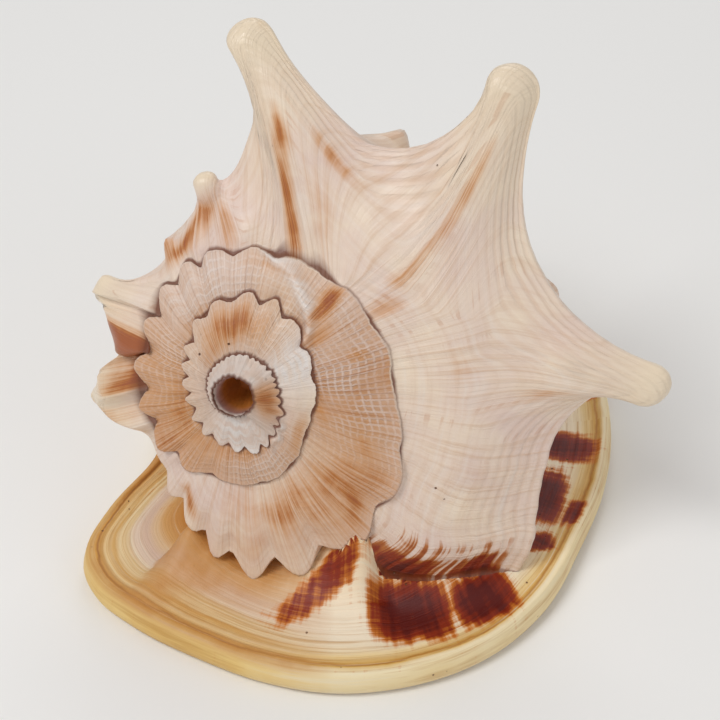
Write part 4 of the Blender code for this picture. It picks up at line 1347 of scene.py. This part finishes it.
@dataclass(frozen=True)
class ShieldFinish(Finish):
    """Callus of the shield: glazed layers of shell laid down one line at a time.

    It gives the eye a butter yellow rolled rim, a dark line behind it, ochre and cream bands, a
    rosy grey belt, a tawny dish under the knobs, and dark red-brown blotches with soaked edges.
    """

    name: str = "glazed_callus_shield"
    specular: float = 0.35
    dark: str = "#5A0B01"
    brown: str = "#8A2804"
    halo: str = "#D07A24"
    band: str = "#BF8736"
    cream: str = "#F1E4C9"
    tawny: str = "#C98D4A"
    speck: str = "#6B4125"
    left_rings: tuple = (
        (0.0, "#E9C377"), (0.05, "#F3D896"), (0.086, "#DFA94E"), (0.102, "#80491A"), (0.118, "#DDB062"),
        (0.17, "#F1DAA5"), (0.235, "#D8AC64"), (0.27, "#EFD9AA"), (0.34, "#E4C896"), (0.40, "#E9D4BE"),
        (0.50, "#DCC1AE"), (0.58, "#E3C49C"), (0.66, "#D8A869"), (0.80, "#C98B42"), (1.0, "#BE7C38"))
    right_rings: tuple = (
        (0.0, "#F2DAA6"), (0.06, "#FAE9C2"), (0.095, "#E6BE6E"), (0.112, "#B87D34"), (0.13, "#E0B567"),
        (0.19, "#F0D49A"), (0.25, "#F7E5C2"), (0.34, "#FAECD3"), (0.50, "#FAEAD0"), (0.70, "#F6E0C0"),
        (1.0, "#EACBA0"))

    def nodes(self, tree: bpy.types.NodeTree, place: bpy.types.NodeSocket) -> tuple:
        """Adds the nodes of the shield.

        Args:
            tree: the material's node tree.
            place: the object coordinates.

        Returns:
            Its colour, roughness and normal.
        """
        growth = add(tree, "UVMap", uv_map="growth")
        inward = add(tree, "SeparateXYZ", (growth,)).outputs["Y"]
        across = add(tree, "SeparateXYZ", (place,)).outputs["X"]
        stain, height = (add(tree, "Attribute", attribute_name=name).outputs["Fac"]
                         for name in ("brown", "height"))
        # The growth bands are about 1.3 mm apart, and the streaks across them 1.4 degrees.
        bands, cross = (
            add(tree, "TexNoise", {"Vector": add(tree, "Mapping", {"Vector": growth, "Scale": scale}),
                                   "Scale": 1.0, "Detail": detail, "Roughness": rough}, noise_dimensions="2D")
            for scale, detail, rough in (((2.2, 75.0, 1.0), 4.0, 0.7), ((70.0, 3.5, 1.0), 3.0, 0.5)))
        # Patches per metre: clouds of 33 mm, groups of specks of 22 mm, and the grain, drawn at
        # 1.2 mm so that it shows.
        cloud, rare, grain = (
            add(tree, "TexNoise", {"Vector": place, "Scale": scale, "Detail": detail, "Roughness": rough})
            for scale, detail, rough in ((30.0, 4.0, 0.6), (45.0, 1.0, 0.5), (800.0, 2.0, 0.5)))
        # Colours by distance from the rim, 0 to 50 mm, wandering by a millimetre or so. The front
        # right of the shield is paler cream, with an ochre line near the rim.
        far = merged(tree, "ADD", inward, add(tree, "MapRange", (cloud, 0.3, 0.7, -0.012, 0.012)))
        far = add(tree, "MapRange", (far, 0.0, 0.5))
        rings = add(tree, "ValToRGB", (far,), self.left_rings)
        plain = add(tree, "ValToRGB", (far,), self.right_rings)
        banding = merged(tree, "MULTIPLY", add(tree, "MapRange", (bands, 0.50, 0.72, 0.0, 0.62)),
                         add(tree, "MapRange", (far, 0.55, 0.28, 0.22, 1.0)))
        # Tawny where the dish climbs up to the knobs.
        climb = merged(tree, "MULTIPLY", add(tree, "MapRange", (height, 8.2, 11.5)),
                       add(tree, "MapRange", (across, -0.010, -0.024)),
                       add(tree, "MapRange", (cloud, 0.3, 0.6, 0.5, 1.0)))
        # Blotches, drawn out across the growth bands, with an amber edge where the stain thins out.
        blot = merged(tree, "ADD", stain, add(tree, "MapRange", (cross, 0.3, 0.7, -0.14, 0.12)),
                      add(tree, "MapRange", (bands, 0.3, 0.7, -0.14, 0.10)),
                      add(tree, "MapRange", (cloud, 0.3, 0.7, -0.12, 0.12)))
        # Grime specks, one to a cell of 5 mm where they are.
        spots = add(tree, "TexVoronoi", {"Vector": place, "Scale": 210.0}).outputs["Distance"]
        speck = merged(tree, "MULTIPLY", add(tree, "MapRange", (spots, 0.10, 0.06)),
                       add(tree, "MapRange", (rare, 0.55, 0.62)))
        base = layered(tree, rings, (
            (across, (-0.042, -0.010), (0.0, 1.0), plain), (banding, (0.0, 1.0), (0.0, 1.0), self.band),
            (bands, (0.44, 0.28), (0.0, 0.6), self.cream), (climb, (0.0, 1.0), (0.0, 1.0), self.tawny),
            (blot, (0.16, 0.40), (0.0, 1.0), self.halo), (blot, (0.36, 0.62), (0.0, 1.0), self.brown),
            (blot, (0.68, 1.0), (0.0, 1.0), self.dark), (speck, (0.0, 1.0), (0.0, 1.0), self.speck)))
        gloss = add(tree, "MapRange", (cloud, 0.3, 0.7, 0.42, 0.56))
        relief = merged(tree, "ADD", bands, merged(tree, "MULTIPLY", grain, 0.06),
                        merged(tree, "MULTIPLY", speck, -1.0))
        return base, gloss, add(tree, "Bump", {"Strength": 0.7, "Distance": 0.0004, "Height": relief})


@dataclass(frozen=True)
class PorcelainFinish(Finish):
    """Mouth side of the shield: shell laid down wet and polished by the animal's foot.

    It gives the eye a smooth peach glaze, paler on the teeth and burnt orange at the mouth.
    """

    name: str = "polished_peach_porcelain"
    ior: float = 1.55
    coat: float = 0.5
    coat_rough: float = 0.08
    pale: str = "#F1DCC0"
    peach: str = "#E9BC8C"
    burnt: str = "#C2713A"

    def nodes(self, tree: bpy.types.NodeTree, place: bpy.types.NodeSocket) -> tuple:
        """Adds the nodes of the mouth side.

        Args:
            tree: the material's node tree.
            place: the object coordinates.

        Returns:
            Its colour, roughness and normal.
        """
        mouth = add(tree, "Attribute", attribute_name="mouth").outputs["Fac"]
        # Clouds of 38 mm, and the faint ripple of the glaze, 4 mm.
        cloud = add(tree, "TexNoise", {"Vector": place, "Scale": 26.0, "Detail": 4.0, "Roughness": 0.55})
        fine = add(tree, "TexNoise", {"Vector": place, "Scale": 260.0, "Detail": 2.0})
        warm = merged(tree, "ADD", mouth, add(tree, "MapRange", (cloud, 0.3, 0.7, -0.22, 0.22)))
        base = add(tree, "ValToRGB", (warm,), (
            (0.0, self.pale), (0.35, self.pale), (0.62, self.peach), (1.0, self.burnt)))
        gloss = add(tree, "MapRange", (cloud, 0.3, 0.7, 0.16, 0.28))
        return base, gloss, add(tree, "Bump", {"Strength": 0.25, "Distance": 0.0003, "Height": fine})


@dataclass(frozen=True)
class InsideFinish(Finish):
    """Wall inside the last whorl: the smooth lining of the living chamber, in its own shade.

    It gives the eye a dim, satin tan in soft clouds.
    """

    name: str = "satin_chamber_lining"
    near: str = "#DDB48C"
    deep: str = "#B98558"

    def nodes(self, tree: bpy.types.NodeTree, place: bpy.types.NodeSocket) -> tuple:
        """Adds the nodes of the lining.

        Args:
            tree: the material's node tree.
            place: the object coordinates.

        Returns:
            Its colour, roughness and normal.
        """
        # Clouds of 25 mm.
        cloud = add(tree, "TexNoise", {"Vector": place, "Scale": 40.0, "Detail": 3.0})
        base = layered(tree, self.near, ((cloud, (0.35, 0.65), (0.0, 1.0), self.deep),))
        gloss = add(tree, "MapRange", (cloud, 0.3, 0.7, 0.32, 0.46))
        return base, gloss, add(tree, "Bump", {"Strength": 0.3, "Distance": 0.0003, "Height": cloud})


@dataclass
class Studio:
    """The pale floor, the soft lights and the camera at the photo's angle. Lengths are in metres."""

    floor_size: float = 8.0
    floor_z: float = -0.0004
    floor_colour: str = "#F4F3F1"
    floor_rough: float = 0.8
    world_light: float = 0.42
    aim: tuple[float, float, float] = (0.0, 0.0, 0.07)
    lamps: tuple = (("key", (-0.6, -0.5, 1.2), 0.5, 8.0), ("fill", (0.9, -0.7, 0.6), 0.9, 1.6),
                    ("back", (0.2, 0.9, 0.9), 0.7, 2.5))
    camera_rise: float = 42.0
    camera_far: float = 0.65
    camera_z: float = 0.075
    lens: float = 98.5
    sensor: float = 36.0

    def lay_floor(self) -> None:
        """Lays the floor and gives it its paint."""
        bpy.ops.mesh.primitive_plane_add(size=self.floor_size, location=(0, 0, self.floor_z))
        floor = bpy.context.object
        floor.name = "floor"
        paint = bpy.data.materials.new("pale_floor")
        paint.use_nodes = True
        sockets = paint.node_tree.nodes["Principled BSDF"].inputs
        sockets["Base Color"].default_value = linear(self.floor_colour)
        sockets["Roughness"].default_value = self.floor_rough
        floor.data.materials.append(paint)

    def light(self) -> None:
        """Sets the light of the room and hangs the soft lamps."""
        world = bpy.data.worlds.new("studio")
        world.use_nodes = True
        sockets = world.node_tree.nodes["Background"].inputs
        sockets["Color"].default_value = linear("#FFFFFF")
        sockets["Strength"].default_value = self.world_light
        bpy.context.scene.world = world
        for name, spot, size, power in self.lamps:
            light = bpy.data.lights.new(name, "AREA")
            light.size = size
            light.energy = power
            lamp = bpy.data.objects.new(name, light)
            bpy.context.collection.objects.link(lamp)
            lamp.location = spot
            lamp.rotation_euler = (Vector(self.aim) - Vector(spot)).to_track_quat("-Z", "Y").to_euler()

    def set_camera(self) -> None:
        """Sets the camera where the photo was taken from."""
        rise = math.radians(self.camera_rise)
        back = Vector((0.0, -math.cos(rise), math.sin(rise)))
        up = Vector((0.0, math.sin(rise), math.cos(rise)))
        view = bpy.data.cameras.new("photo_view")
        view.sensor_width = self.sensor
        view.lens = self.lens
        camera = bpy.data.objects.new("photo_view", view)
        bpy.context.collection.objects.link(camera)
        place = Vector((ORIGIN[0] * MM, ORIGIN[1] * MM, self.camera_z)) + self.camera_far * back
        turn = Matrix((Vector((1, 0, 0)), up, back)).transposed().to_4x4()
        camera.matrix_world = Matrix.Translation(place) @ turn
        bpy.context.scene.camera = camera
        bpy.context.scene.view_settings.view_transform = "Standard"


def main() -> None:
    """Builds the shell, dresses it and sets the stage."""
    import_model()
    coil, shield, mouth = Coil(), Shield(), Mouth()
    shell = coil.build(shield)
    LOG.info("coil: %d faces", len(shell.data.polygons))
    slab = shield.build(mouth, coil)
    LOG.info("shield: %d faces", len(slab.data.polygons))
    combine(shell, slab, Joining.UNION)
    combine(shell, mouth.chamber(coil, shield), Joining.DIFFERENCE)
    combine(shell, mouth.slot(), Joining.DIFFERENCE)
    mend(shell)
    shell.name = shell.data.name = "horned_shell"
    shell.data.shade_smooth()
    LOG.info("horned_shell: %d faces", len(shell.data.polygons))
    for slot, finish in enumerate((WallFinish(), ShieldFinish(), PorcelainFinish(), InsideFinish())):
        shell.data.materials[slot] = finish.make()
    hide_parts("shell")
    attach(shell, "root")
    studio = Studio()
    studio.lay_floor()
    studio.light()
    studio.set_camera()


if __name__ == "__main__":
    logging.basicConfig(level=logging.INFO)
    main()
